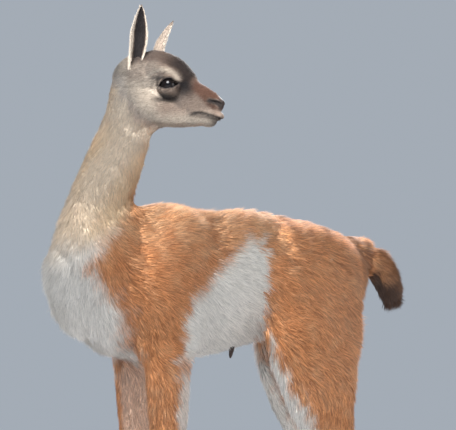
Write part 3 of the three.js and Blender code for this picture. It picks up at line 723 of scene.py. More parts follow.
def lie_of(p, n):
    """Which way the hair lies."""
    head = smooth((15 - below_head(p)) / 40)[:, None] * (p[:, 2:3] > HEAD_BASE)
    z = p[:, 2]
    trunk = np.stack([np.ones(len(p)), np.zeros(len(p)), mix(-0.25, -1.0, smooth((650 - z) / 170))], 1)
    neck = unit(np.stack([mix(0.15, -0.12, smooth((z - 650) / 100)), 0 * z, -np.ones(len(p))], 1))
    on_neck = smooth(((z - 628) * 0.78 - (p[:, 0] + 214) * 0.62 + 40) / 90)[:, None] * (p[:, 0:1] < -90)
    chest = smooth((-170 - p[:, 0:1]) / 60) * (z[:, None] < 640)
    legs = smooth((455 - z[:, None]) / 80)
    down = np.array([[0.12, 0, -1.0]])
    lie = mix(trunk, down, np.maximum(legs, chest))
    lie = mix(lie, neck, on_neck)
    face = -FORWARD[None] * 0.9 - UP[None] * 0.35
    lie = mix(lie, face + 0 * lie, head)
    along = unit(np.stack([np.ones(len(p)), 0 * z, mix(-0.1, -1.6, smooth((p[:, 0] - 270) / 55))], 1))
    lie = mix(lie, along, near_tail(p)[:, None])
    thigh = (p[:, 0:1] > 60) * smooth((560 - z[:, None]) / 60) * smooth((z[:, None] - 330) / 60)
    lie = lie + thigh * np.array([[0.35, 0, 0]])
    stray = (mottle(p, 28, 2) - 0.5) * 1.1 + (mottle(p, 5, 4) - 0.5) * mix(0.9, 0.3, head[:, 0])
    lie = lie + stray[:, None] * np.cross(n, lie)
    lie = lie - n * (lie * n).sum(1, keepdims=True)
    return unit(lie)


def hair_length(p, n):
    z = p[:, 2]
    legs = mix(7.0, 24.0, smooth((z - 150) / 230))
    length = mix(legs, 36.0, smooth((z - 400) / 100))
    length = mix(length, 23.0, smooth((z - 690) / 80) * (p[:, 0] < -80))
    f = head_local(p)[:, 0]
    head = np.interp(f, [-40, 20, 60, 90, 115], [15, 9, 7, 4.5, 3.5])
    length = np.where(z > HEAD_BASE, mix(head, length, smooth((below_head(p) + 10) / 60)), length)
    chest = smooth((-150 - p[:, 0]) / 80) * smooth((640 - z) / 60) * smooth((z - 430) / 40)
    length = length * (1 + 0.18 * chest)
    length = mix(length, np.interp(p[:, 0], [250, 290, 330], [42, 38, 26]), near_tail(p))
    return np.where(z < 60, np.minimum(length, 5.0), length)


REGIONS = ("face", "neck", "chest", "shoulder", "barrel", "rump", "hind_legs", "fore_legs", "tail")


def region_of(p):
    x, y, z = p.T
    out = np.full(len(p), REGIONS.index("shoulder"))
    out[x > -75] = REGIONS.index("barrel")
    out[x > 75] = REGIONS.index("rump")
    out[(x < -20) & (z < 440)] = REGIONS.index("fore_legs")
    out[(x > 40) & (z < 474)] = REGIONS.index("hind_legs")
    neck = ((z - 628) * 0.78 - (x + 214) * 0.62 > 0) & (x < -100)
    out[(x < -205) & (z > 440)] = REGIONS.index("chest")
    out[neck] = REGIONS.index("chest")
    out[neck & (z > 700)] = REGIONS.index("neck")
    out[(below_head(p) < 0) & (z > HEAD_BASE)] = REGIONS.index("face")
    out[(x > 252) & (z > 500) & (np.abs(y) < 45) & (tail_tube(p) < 1)] = REGIONS.index("tail")
    return out


CHARTS = {
    "face": (head_point(20, 0, -15), FORWARD, UP, 190),
    "neck": (np.array([-180, -20, 790]), UP, np.array([1.0, 0, 0]), 260),
    "chest": (np.array([-215, 0, 600]), unit([-0.4, 0, 0.9]), np.array([1.0, 0, 0.5]), 420),
    "shoulder": (np.array([-130, 0, 570]), np.array([1.0, 0, 0]), -UP, 260),
    "barrel": (np.array([0, 0, 575]), np.array([1.0, 0, 0]), -UP, 200),
    "rump": (np.array([160, 0, 580]), np.array([1.0, 0, 0]), -UP, 260),
    "tail": (np.array([292, 4, 590]), unit([0.7, 0, -0.7]), UP, 180),
}


def chart_coordinates(p, region):
    """The angle about a region's axis and the way along it, both in 0 to 1."""
    if region in CHARTS:
        centre, axis, zero, length = CHARTS[region]
        q = p - centre
        zero = unit(zero - axis * np.dot(axis, zero))
        angle = np.arctan2(q @ np.cross(axis, zero), q @ zero)
        return angle / (2 * math.pi) + 0.5, np.clip((q @ axis) / length + 0.5, 0, 1)
    names = [n for n in LEGS if n.startswith("fore" if region == "fore_legs" else "hind")]
    u, v = np.zeros(len(p)), np.clip(p[:, 2] / 480, 0, 1)
    for k, name in enumerate(names):
        mine = p[:, 1] * LEGS[name][1] > 0
        path = leg_tubes[name].path[::-1]
        cx = np.interp(p[:, 2], path[:, 2], path[:, 0])
        cy = np.interp(p[:, 2], path[:, 2], path[:, 1])
        angle = np.arctan2((p[:, 1] - cy) * LEGS[name][1], -(p[:, 0] - cx)) / (2 * math.pi) + 0.5
        u = np.where(mine, angle, u)
    return u, v


def unwrap(points, faces, face_region):
    """One chart to a region, laid out on a grid. Returns a UV for each corner of each face."""
    uv = np.zeros((len(faces), faces.shape[1], 2))
    for k, region in enumerate(REGIONS):
        mine = np.nonzero(face_region == k)[0]
        if not len(mine):
            continue
        corner = points[faces[mine]]
        centre = corner.mean(1)
        cu, _ = chart_coordinates(centre, region)
        u, v = chart_coordinates(corner.reshape(-1, 3), region)
        u, v = u.reshape(corner.shape[:2]), v.reshape(corner.shape[:2])
        u = u - np.round(u - cu[:, None])
        right = centre[:, 1] > 0
        split = right[:, None] * 0.5 if region.endswith("legs") else 0.0
        scale = 0.42 if region.endswith("legs") else 0.9
        u = 0.05 + scale * np.clip(u, -0.02, 1.02) + split
        uv[mine, :, 0] = (k % 3 + u) / 3
        uv[mine, :, 1] = (k // 3 + 0.03 + 0.94 * v) / 3
    return uv


# Materials

def linear(colour):
    return tuple(((c + 0.055) / 1.055) ** 2.4 if c > 0.04045 else c / 12.92 for c in colour)


def rgb(r, g, b):
    return linear((r / 255, g / 255, b / 255))


def node(tree, kind, **settings):
    n = tree.nodes.new(kind)
    row, column = divmod(len(tree.nodes), 8)
    n.location = (column * 200, row * -300)
    for key, value in settings.items():
        setattr(n, key, value)
    return n


def coat_group(colours):
    """Colour of the coat from the markings on the skin and the way along each hair, with painted shade that
    deepens towards each hair's root.
    """
    tree = bpy.data.node_groups.new("Coat colour", "ShaderNodeTree")
    face = tree.interface
    for label, default in (("Root shade", 0.6), ("Variation", 0.2)):
        face.new_socket(label, in_out="INPUT", socket_type="NodeSocketFloat").default_value = default
    face.new_socket("Color", in_out="OUTPUT", socket_type="NodeSocketColor")
    start, end = node(tree, "NodeGroupInput"), node(tree, "NodeGroupOutput")
    link = tree.links.new

    def feed(socket, value):
        if isinstance(value, (int, float)):
            socket.default_value = value
        elif isinstance(value, tuple):
            socket.default_value = (*value, 1)
        else:
            link(value, socket)

    def attribute(name):
        return node(tree, "ShaderNodeAttribute", attribute_name=name).outputs["Fac"]

    def over(base, colour, factor):
        m = node(tree, "ShaderNodeMix", data_type="RGBA")
        for key, value in (("Factor", factor), ("A", base), ("B", colour)):
            feed(m.inputs[key], value)
        return m.outputs["Result"]

    def maths(operation, a, b):
        m = node(tree, "ShaderNodeMath", operation=operation)
        feed(m.inputs[0], a)
        feed(m.inputs[1], b)
        return m.outputs[0]

    tone = attribute("tone")
    colour = over(colours["cinnamon_dark"], colours["cinnamon"], tone)
    colour = over(colour, colours["pale"], attribute("m_pale"))
    colour = over(colour, colours["white"], attribute("m_white"))
    grey = over(colours["grey"], colours["cheek"], attribute("m_white"))
    colour = over(colour, grey, attribute("m_grey"))
    colour = over(colour, colours["rust"], attribute("m_rust"))
    colour = over(colour, colours["dark"], attribute("m_dark"))
    # painted shade: each hair is a little darker at its root, where the coat would shade itself, and no two are
    # quite alike
    rise = node(tree, "ShaderNodeMapRange")
    feed(rise.inputs["Value"], attribute("leaf"))
    feed(rise.inputs["To Min"], start.outputs["Root shade"])
    spread = maths("MULTIPLY", maths("SUBTRACT", tone, 0.5), start.outputs["Variation"])
    scale = node(tree, "ShaderNodeVectorMath", operation="SCALE")
    feed(scale.inputs[0], colour)
    feed(scale.inputs["Scale"], maths("MULTIPLY", rise.outputs["Result"], maths("ADD", spread, 1.0)))
    feed(end.inputs["Color"], scale.outputs[0])
    return tree


def principled(name, colour=(0.5, 0.5, 0.5), roughness=0.8, **inputs):
    material = bpy.data.materials.new(name)
    material.use_nodes = True
    shader = material.node_tree.nodes["Principled BSDF"]
    shader.inputs["Base Color"].default_value = (*colour, 1)
    shader.inputs["Roughness"].default_value = roughness
    for key, value in inputs.items():
        shader.inputs[key.replace("_", " ")].default_value = value
    return material, shader


def coat_material(name, group, painted_root_shade, variation, roughness=0.85, sheen=0.05):
    material, shader = principled(name, roughness=roughness)
    shader.inputs["Sheen Weight"].default_value = sheen
    shader.inputs["Specular IOR Level"].default_value = 0.25
    tree = material.node_tree
    use = node(tree, "ShaderNodeGroup", node_tree=group)
    use.inputs["Root shade"].default_value = painted_root_shade
    use.inputs["Variation"].default_value = variation
    tree.links.new(use.outputs["Color"], shader.inputs["Base Color"])
    return material


# Tufts

PATCH_WIDTH, PATCH_HEIGHT = 0.0026, 0.003


def spike_mesh(name):
    """A thin closed tuft of unit length along +Y: a sunken root and a tip lifted to unit height."""
    points = [(-0.5, 0, -0.25), (0.5, 0, -0.25), (0, 0.06, -0.12), (0, 1, 1)]
    faces = [(0, 1, 2), (0, 3, 1), (1, 3, 2), (2, 3, 0)]
    mesh = new_mesh(name, np.array(points), np.array(faces), True)
    give(mesh, "leaf", [0, 0, 0, 1])
    give(mesh, "across", [-0.5, 0.5, 0, 0])
    return put(name, mesh)


def tuft_tree(name, material, spike):
    """Geometry Nodes: tufts scattered on a surface, lying the way its lie attribute says."""
    tree = bpy.data.node_groups.new(name, "GeometryNodeTree")
    face = tree.interface
    face.new_socket("Geometry", in_out="INPUT", socket_type="NodeSocketGeometry")
    for label, default in (("Density", 1000.0), ("Width", 0.003), ("Length", 1.0), ("Disorder", 0.25)):
        face.new_socket(label, in_out="INPUT", socket_type="NodeSocketFloat").default_value = default
    face.new_socket("Seed", in_out="INPUT", socket_type="NodeSocketInt").default_value = 1
    face.new_socket("Geometry", in_out="OUTPUT", socket_type="NodeSocketGeometry")
    start, end = node(tree, "NodeGroupInput"), node(tree, "NodeGroupOutput")
    link = tree.links.new

    def named(attribute, kind="FLOAT"):
        n = node(tree, "GeometryNodeInputNamedAttribute", data_type=kind)
        n.inputs["Name"].default_value = attribute
        return n.outputs["Attribute"]

    def random(low, high, seed, kind="FLOAT"):
        n = node(tree, "FunctionNodeRandomValue", data_type=kind)
        shift = node(tree, "ShaderNodeMath", operation="ADD")
        link(start.outputs["Seed"], shift.inputs[0])
        shift.inputs[1].default_value = seed
        names = [s for s in n.inputs if s.enabled and s.name in ("Min", "Max")]
        names[0].default_value, names[1].default_value = low, high
        link(shift.outputs[0], n.inputs["Seed"])
        return [s for s in n.outputs if s.enabled][0]

    def combine(kind, operation, a, b, second=1):
        n = node(tree, kind, operation=operation)
        link(a, n.inputs[0])
        link(b, n.inputs[second])
        return n.outputs[0]

    def times(a, b):
        return combine("ShaderNodeMath", "MULTIPLY", a, b)

    spread = node(tree, "GeometryNodeDistributePointsOnFaces", distribute_method="RANDOM")
    link(start.outputs[0], spread.inputs["Mesh"])
    link(times(named("thick"), start.outputs["Density"]), spread.inputs["Density"])
    link(start.outputs["Seed"], spread.inputs["Seed"])
    stray = random((-1, -1, -1), (1, 1, 1), 11, "FLOAT_VECTOR")
    jitter = combine("ShaderNodeVectorMath", "SCALE", stray, start.outputs["Disorder"], "Scale")
    lie = combine("ShaderNodeVectorMath", "ADD", named("lie", "FLOAT_VECTOR"), jitter)
    turn = node(tree, "FunctionNodeAxesToRotation", primary_axis="Z", secondary_axis="Y")
    link(spread.outputs["Normal"], turn.inputs["Primary Axis"])
    link(lie, turn.inputs["Secondary Axis"])
    size = node(tree, "ShaderNodeCombineXYZ")
    link(times(times(start.outputs["Width"], named("wide")), random(0.7, 1.3, 21)), size.inputs["X"])
    link(times(times(start.outputs["Length"], named("length")), random(0.7, 1.12, 31)), size.inputs["Y"])
    link(times(named("height"), random(0.55, 1.05, 41)), size.inputs["Z"])
    tone = node(tree, "GeometryNodeStoreNamedAttribute", data_type="FLOAT", domain="POINT")
    tone.inputs["Name"].default_value = "tone"
    link(spread.outputs["Points"], tone.inputs["Geometry"])
    link(random(0.0, 1.0, 51), [s for s in tone.inputs if s.name == "Value" and s.enabled][0])
    shape = node(tree, "GeometryNodeObjectInfo")
    shape.inputs["Object"].default_value = spike
    place = node(tree, "GeometryNodeInstanceOnPoints")
    link(tone.outputs[0], place.inputs["Points"])
    link(shape.outputs["Geometry"], place.inputs["Instance"])
    link(turn.outputs[0], place.inputs["Rotation"])
    link(size.outputs[0], place.inputs["Scale"])
    real = node(tree, "GeometryNodeRealizeInstances")
    link(place.outputs[0], real.inputs[0])
    paint = node(tree, "GeometryNodeSetMaterial")
    paint.inputs["Material"].default_value = material
    link(real.outputs[0], paint.inputs["Geometry"])
    link(paint.outputs[0], end.inputs[0])
    return tree


def grow(name, surface_object, tree, values):
    """Runs a tuft tree on a surface and returns the result as a plain mesh object."""
    modifier = surface_object.modifiers.new("Tufts", "NODES")
    modifier.node_group = tree
    values = {"Length": 1.0, **values}
    for item in tree.interface.items_tree:
        if item.item_type == "SOCKET" and item.in_out == "INPUT" and item.name in values:
            modifier[item.identifier] = values[item.name]
    graph = bpy.context.evaluated_depsgraph_get()
    graph.update()
    mesh = bpy.data.meshes.new_from_object(surface_object.evaluated_get(graph), depsgraph=graph)
    surface_object.modifiers.remove(modifier)
    mesh.name = name
    return mesh


def bake_map(mesh):
    """A UV map in which each tuft is a small patch at its root's place on the skin."""
    uv = read(mesh, "root_uv", 3)[:, :2].copy()
    uv[:, 0] += read(mesh, "across") * PATCH_WIDTH
    uv[:, 1] += (read(mesh, "leaf") - 0.5) * PATCH_HEIGHT
    loops = fetch(mesh.loops, "vertex_index", kind=np.int32)
    while mesh.uv_layers:
        mesh.uv_layers.remove(mesh.uv_layers[0])
    layer = mesh.uv_layers.new(name="OFBake")
    layer.data.foreach_set("uv", uv[loops].astype(np.float32).ravel())
    for spare in ("root_uv", "across", "lie", "length", "wide", "height", "thick"):
        if spare in mesh.attributes:
            mesh.attributes.remove(mesh.attributes[spare])


# Ears, nails, eyes and the stump of the navel cord

def ear_surface(s, levels=56, arcs=28):
    """Rings of the rolled leaf, outer arc then inner arc back, with each point's place on it."""
    root = head_point(-36, 33 * s, 18)
    axis = unit(32 * FORWARD - 30 * LEFT + 112 * UP) if s < 0 else unit(36 * FORWARD + 36 * LEFT + 114 * UP)
    opening = unit(0.8 * FORWARD + s * LEFT - 0.1 * UP)
    side = unit(np.cross(axis, opening))
    front = unit(np.cross(side, axis))
    points, inside, high, around, outward = [], [], [], [], []
    for i in range(levels + 1):
        t = i / levels * 0.985
        leaf = math.sin(math.pi * mix(0.1, 1, t) ** 0.72) ** 0.65
        width = mix(30 * (1 - t), 40 if s < 0 else 36, min(1, leaf))
        roll = math.radians(mix(300, 150, min(1, t * 1.6)))
        radius = max(width / roll, 0.9) * 1.25 - 0.9
        thick = mix(4.2, 1.2, t)
        lean = 9 * math.sin(math.pi * t)
        middle = root + axis * mix(-16, EAR_LENGTH, t) - side * lean * s * 0.5
        for flip in (False, True):
            for k in range(arcs + 1):
                share = 1 - k / arcs if flip else k / arcs
                angle = mix(-roll / 2, roll / 2, share)
                rim = 1 - abs(2 * share - 1) ** 8
                r = max(radius - thick * (0.25 + 0.75 * rim), 0.3) if flip else radius
                way = side * math.sin(angle) - front * math.cos(angle)
                points.append(middle + way * r)
                outward.append(-way if flip else way)
                inside.append(float(flip))
                high.append(t)
                around.append((2 * share - 1) * s)
    n = 2 * (arcs + 1)
    faces = []
    for i in range(levels):
        for j in range(n):
            faces.append((i * n + j, i * n + (j + 1) % n, (i + 1) * n + (j + 1) % n, (i + 1) * n + j))
    top = levels * n
    for k in range(arcs):
        faces.append((top + k, top + k + 1, top + n - 2 - k, top + n - 1 - k))
    a = np.array(points)
    return a, np.array(faces), np.array(inside), np.array(high), np.array(around), np.array(outward), axis


def ear_attributes(mesh, p, inside, high, rear, normal, axis):
    """Pale at the rims, broadly so along the rear one, and dark in the cup."""
    around = np.abs(rear)
    edge = np.maximum(smooth((around - 0.74) / 0.2), smooth((rear - mix(0.0, 0.45, high)) / 0.3))
    edge = np.maximum(edge, smooth((0.3 - high) / 0.12) * 0.8)
    tip = smooth((high - 0.88) / 0.1)
    give(mesh, "m_dark", np.where(inside > 0, (1 - edge) * 1.0, 0.05 + 0.55 * tip))
    give(mesh, "m_white", np.where(inside > 0, edge * 0.9, 0.55 + 0.4 * edge - 0.3 * tip))
    give(mesh, "m_grey", np.full(len(p), 0.85))
    give(mesh, "m_pale", np.full(len(p), 0.1))
    give(mesh, "m_rust", np.zeros(len(p)))
    lie = axis[None] + (mottle(p, 8)[:, None] - 0.5) * 0.4
    give(mesh, "lie", unit(lie - normal * (lie * normal).sum(1, keepdims=True)), "FLOAT_VECTOR")
    give(mesh, "length", np.interp(high, [0, 0.3, 1], [13, 9, 5]) * MM)
    give(mesh, "height", np.interp(high, [0, 1], [2.2, 1.1]) * MM)
    give(mesh, "wide", np.full(len(p), 0.6))
    give(mesh, "thick", np.where(inside > 0, 0.55, 1.0) * (high > 0.06))
    give(mesh, "tone", np.full(len(p), 0.5))
    # the ear's leaf takes the painted root shade of a point about a third of the way up a hair
    give(mesh, "leaf", np.full(len(p), 0.35))
    place = np.stack([0.02 + 0.28 * around * 0.5 + 0.14 * inside, 0.02 + 0.3 * high, 0 * high], 1)
    give(mesh, "root_uv", place + np.array([1 / 3, 2 / 3, 0]), "FLOAT_VECTOR")


def swept(stations, spokes=20, ahead=(0, 0, 1), steps=6, rough=0.0):
    """A smooth closed tube through stations, round at both ends."""
    s = np.asarray(stations, float)
    ts = np.linspace(0, 1, (len(s) - 1) * steps + 1)
    path, sizes = spline(s[:, :3], ts), spline(s[:, 3:], ts, 0.4)
    points, faces = [], []
    for i, (c, (w, up, down)) in enumerate(zip(path, sizes)):
        axis = unit(path[min(i + 1, len(path) - 1)] - path[max(i - 1, 0)])
        side = unit(np.cross(axis, ahead))
        rise = np.cross(side, axis)
        for j in range(spokes):
            a = 2 * math.pi * j / spokes
            d = up if math.cos(a) > 0 else down
            wrinkle = 1 + rough * math.sin(5 * a + 1.7 * i) * math.sin(0.9 * i + a)
            points.append(c + wrinkle * (side * math.sin(a) * w + rise * math.cos(a) * d))
    n = len(path)
    points.append(path[0] - unit(path[1] - path[0]) * sizes[0].min() * 0.5)
    points.append(path[-1] + unit(path[-1] - path[-2]) * sizes[-1].min() * 0.5)
    for i in range(n - 1):
        for j in range(spokes):
            k = (j + 1) % spokes
            faces.append((i * spokes + j, i * spokes + k, (i + 1) * spokes + k))
            faces.append((i * spokes + j, (i + 1) * spokes + k, (i + 1) * spokes + j))
    for j in range(spokes):
        k = (j + 1) % spokes
        faces.append((n * spokes, k, j))
        faces.append((n * spokes + 1, (n - 1) * spokes + j, (n - 1) * spokes + k))
    return np.array(points), np.array(faces)


class Build:
    """What one operator leaves for the next."""

    skin = None
    group = None
    region = None
    pieces = {}


MASKS = ("m_pale", "m_white", "m_dark", "m_rust", "m_grey")
COLOURS = ("cinnamon", "cinnamon_dark", "pale", "white", "grey", "cheek", "rust", "dark")


def props():
    return bpy.context.scene.guanaco_coat, bpy.context.scene.guanaco_stage


def colour_property(name, text, value):
    return bpy.props.FloatVectorProperty(
        name=name, description=text, size=3, subtype="COLOR", min=0, max=1, default=rgb(*value)
    )


def number_property(name, text, value, low=0, high=3e38, unit="NONE"):
    return bpy.props.FloatProperty(name=name, description=text, default=value, min=low, max=high, unit=unit)


class GuanacoCoat(bpy.types.PropertyGroup):
    cinnamon: colour_property("Cinnamon", "Back, shoulders and outsides of the legs", (236, 164, 108))
    cinnamon_dark: colour_property("Dark cinnamon", "Deeper hairs among the cinnamon", (186, 118, 73))
    pale: colour_property("Pale neck", "Colour of the sides of the neck", (250, 216, 172))
    white: colour_property("White", "Belly, chest and insides of the legs", (246, 240, 230))
    grey: colour_property("Face grey", "Colour of the forehead and the backs of the ears", (126, 102, 88))
    cheek: colour_property("Cheek", "Colour of the cheeks and the rims of the ears", (208, 193, 175))
    rust: colour_property("Muzzle rust", "Colour of the top of the muzzle", (92, 54, 36))
    # the dark mask's colour also gives the painted shade on the nose, the front of the face and under the tail
    dark: colour_property("Dark mask", "Round the eyes, on the nose and in the ears", (30, 24, 24))
    tuft_width: number_property("Tuft width", "Width of one tuft of hair", 0.0023, 0.0005, 0.01, "LENGTH")
    disorder: number_property("Disorder", "How far tufts stray from the lie of the coat", 0.22, 0, 1)
    tufts: bpy.props.IntProperty(
        name="Tufts", description="Tufts on each part of the coat", default=43000, min=100, max=49000
    )


class GuanacoStage(bpy.types.PropertyGroup):
    floor: colour_property("Floor", "Colour of the floor and the backdrop", (178, 181, 186))
    key_power: number_property("Key light", "Power of the main light", 495.0, unit="POWER")
    fill_power: number_property("Fill light", "Power of the soft light from the other side", 60.0, unit="POWER")
    distance: number_property(
        "Camera distance", "From the camera to the middle of the picture", 4.2, 1, 20, "LENGTH"
    )


class GUANACO_OT_skin(bpy.types.Operator):
    """Builds the skin as one surface, with the markings, the painted shade on the face and under the tail, and
    the lie of the hair on it
    """

    bl_idname = "guanaco.skin"
    bl_label = "Skin"

    def execute(self, context):
        coarse, fine = ((4.6, 2.0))
        xs = lines(-330, 365, -212, -28, coarse, fine)
        ys = lines(-172, 122, -168, 6, coarse, fine)
        zs = lines(-6, 960, 796, 952, coarse, fine)
        value = sample(xs, ys, zs)
        points, quads = surface(xs, ys, zs, value)
        for _ in range(2):
            g = gradient(skin_field, points)
            size = (g * g).sum(1, keepdims=True)
            push = skin_field(points)[:, None] * g / np.maximum(size, 0.3)
            length = np.linalg.norm(push, axis=1, keepdims=True)
            points = points - push * np.minimum(1, 1.2 / np.maximum(length, 1e-6))
        mesh = new_mesh("skin", to_row(points), quads)
        obj = put("skin", mesh)
        keep_largest(obj)
        co, faces = mesh_arrays(mesh)
        p = co / MM - SHIFT
        n = fetch(mesh.vertices, "normal", 3).astype(float)
        lie = lie_of(p, n)
        length = hair_length(p, n)
        masks = marks(p + lie * length[:, None] * 0.5, n)
        face = (p[:, 2:3] > HEAD_BASE) & (head_local(p)[:, :1] > -30)
        masks = np.where(face, marks(p, n), masks)
        for k, name in enumerate(MASKS):
            give(mesh, name, masks[:, k])
        give(mesh, "lie", lie, "FLOAT_VECTOR")
        give(mesh, "length", length * MM)
        lift = 0.72 + 0.36 * mottle(p, 5, 6)
        give(mesh, "height", np.minimum(coat_depth(p) * 0.98, length * 0.62) * lift * MM)
        give(mesh, "wide", np.interp(length, [3, 8, 25, 40], [0.42, 0.55, 1.0, 1.25]))
        thick = np.ones(len(p))
        near = np.nonzero(p[:, 2] > HEAD_BASE)[0]
        for s in (-1, 1):
            centre = eye_axes(s)[0]
            close = near[np.linalg.norm(p[near] - centre, axis=1) < EYE_RADIUS + 9]
            thick[close] *= smooth((eye_opening(p[close], s) - 2.2) / 2)
            thick[close] *= np.linalg.norm(p[close] - centre, axis=1) > EYE_RADIUS + 0.8
        bald = smooth((head_local(p)[:, 0] - 106) / 5) * (p[:, 2] > HEAD_BASE)
        thick *= 1 - bald
        thick *= smooth((p[:, 2] - 4) / 4)
        give(mesh, "thick", thick)
        give(mesh, "tone", mottle(p, 5, 3))
        # the skin counts as a point a quarter of the way up a hair, for the painted root shade
        give(mesh, "leaf", np.full(len(p), 0.25))
        Build.region = region_of(p[faces].mean(1))
        uv = unwrap(p, faces, Build.region)
        layer = mesh.uv_layers.new(name="OFBake")
        layer.data.foreach_set("uv", uv.astype(np.float32).ravel())
        root = np.concatenate([uv, np.zeros((*uv.shape[:2], 1))], 2)
        give(mesh, "root_uv", root, "FLOAT_VECTOR", "CORNER")
        coat, _ = props()
        Build.group = coat_group({k: tuple(getattr(coat, k)) for k in COLOURS})
        # the skin between the tufts gets the painted root shade too
        material = coat_material("skin", Build.group, 0.75, 0.15, 0.7, 0.0)
        hair_bump(material)
        mesh.materials.append(material)
        Build.skin = obj
        return {"FINISHED"}


def keep_largest(obj):
    """Drops any bit of surface that isn't joined to the skin."""
    mesh = obj.data
    edges = fetch(mesh.edges, "vertices", 2, np.int32)
    label = np.arange(len(mesh.vertices))
    while True:
        low = np.minimum(label[edges[:, 0]], label[edges[:, 1]])
        new = label.copy()
        np.minimum.at(new, edges[:, 0], low)
        np.minimum.at(new, edges[:, 1], low)
        new = new[new]
        if (new == label).all():
            break
        label = new
    names, counts = np.unique(label, return_counts=True)
    main = names[counts.argmax()]
    if (label == main).all():
        return

    def cut(b):
        b.verts.ensure_lookup_table()
        bmesh.ops.delete(b, geom=[b.verts[i] for i in np.nonzero(label != main)[0]], context="VERTS")

    change(mesh, cut)


def hair_bump(material, scale=420.0, strength=0.25):
    """A fine bump under the tufts, so the skin reads as short fur between them."""
    tree = material.node_tree
    shader = tree.nodes["Principled BSDF"]
    place = node(tree, "ShaderNodeTexCoord")
    noise = node(tree, "ShaderNodeTexNoise")
    noise.inputs["Scale"].default_value = scale
    bump = node(tree, "ShaderNodeBump")
    bump.inputs["Strength"].default_value = strength
    bump.inputs["Distance"].default_value = 0.0008
    tree.links.new(place.outputs["Object"], noise.inputs["Vector"])
    tree.links.new(noise.outputs["Fac"], bump.inputs["Height"])
    tree.links.new(bump.outputs["Normal"], shader.inputs["Normal"])


FLESH = ["torso", "neck", "head", "tail"] + [k + "_" + n for k in ("leg", "foot") for n in LEGS]


class GUANACO_OT_coat(bpy.types.Operator):
    """Grows the tufts of the coat over the skin, one piece for each part of the body"""

    bl_idname = "guanaco.coat"
    bl_label = "Coat"

    def execute(self, context):
        coat, _ = props()
        spike = spike_mesh("tuft")
        # painted shade takes each tuft down to half its colour at the root
        material = coat_material("coat", Build.group, 0.5, 0.5)
        skin = Build.skin
        co, quads = mesh_arrays(skin.data)
        names = (*MASKS, "length", "height", "wide", "thick")
        share = {"tail": 0.5, "fore_legs": 0.7, "neck": 0.95}
        for k, region in enumerate(REGIONS):
            mine = np.nonzero(Build.region == k)[0]
            used, faces = np.unique(quads[mine], return_inverse=True)
            part = put("ground", new_mesh("ground", co[used], faces.reshape(-1, 4)))
            for name in names:
                give(part.data, name, read(skin.data, name)[used])
            give(part.data, "lie", read(skin.data, "lie", 3)[used], "FLOAT_VECTOR")
            corner = read(skin.data, "root_uv", 3).reshape(-1, 4, 3)[mine]
            give(part.data, "root_uv", corner, "FLOAT_VECTOR", "CORNER")
            thick = read(skin.data, "thick")[quads[mine]].mean(1)
            total = (face_areas(co[quads[mine]]) * thick).sum()
            count = coat.tufts * share.get(region, 1.0) * 1
            tree = tuft_tree("tufts_" + region, material, spike)
            width = coat.tuft_width * 1
            density = float(count / total)
            values = {"Density": density, "Width": width, "Disorder": coat.disorder, "Seed": 100 + k}
            mesh = grow("coat_" + region, part, tree, values)
            bake_map(mesh)
            Build.pieces[region] = put("coat_" + region, mesh)
            bpy.data.objects.remove(part)
        bpy.data.objects.remove(spike)
        return {"FINISHED"}


def mesh_arrays(mesh):
    return fetch(mesh.vertices, "co", 3), fetch(mesh.loops, "vertex_index", kind=np.int32).reshape(-1, 4)


def face_areas(corners):
    a, b, c, d = (corners[:, i].astype(float) for i in range(4))
    return np.linalg.norm(np.cross(c - a, d - b), axis=1) / 2


class GUANACO_OT_ears(bpy.types.Operator):
    """Builds both ears, each a rolled leaf with short fur inside and out"""

    bl_idname = "guanaco.ears"
    bl_label = "Ears"

    def execute(self, context):
        # the ear's leaf and fur carry painted root shade, like the coat
        material = coat_material("ear", Build.group, 0.85, 0.2, 0.8)
        hair_bump(material, 600.0)
        fur = coat_material("ear_fur", Build.group, 0.7, 0.35, 0.8)
        spike = spike_mesh("ear_tuft")
        tree = tuft_tree("tufts_ear", fur, spike)
        for name, s in (("left", 1), ("right", -1)):
            p, faces, inside, high, around, normal, axis = ear_surface(s)
            mesh = new_mesh("ear_" + name + "_leaf", to_row(p), faces)
            outward(mesh)
            obj = put("ear_" + name + "_leaf", mesh, material)
            ear_attributes(mesh, p, inside, high, around, normal, axis)
            density = 260000.0 * 1
            values = {"Density": density, "Width": 0.0026, "Disorder": 0.3, "Seed": 7 + s}
            tufts = grow("ear_" + name + "_fur", obj, tree, values)
            bake_map(tufts)
            Build.pieces["ear_" + name] = (obj, put("ear_" + name + "_fur", tufts))
        bpy.data.objects.remove(spike)
        return {"FINISHED"}


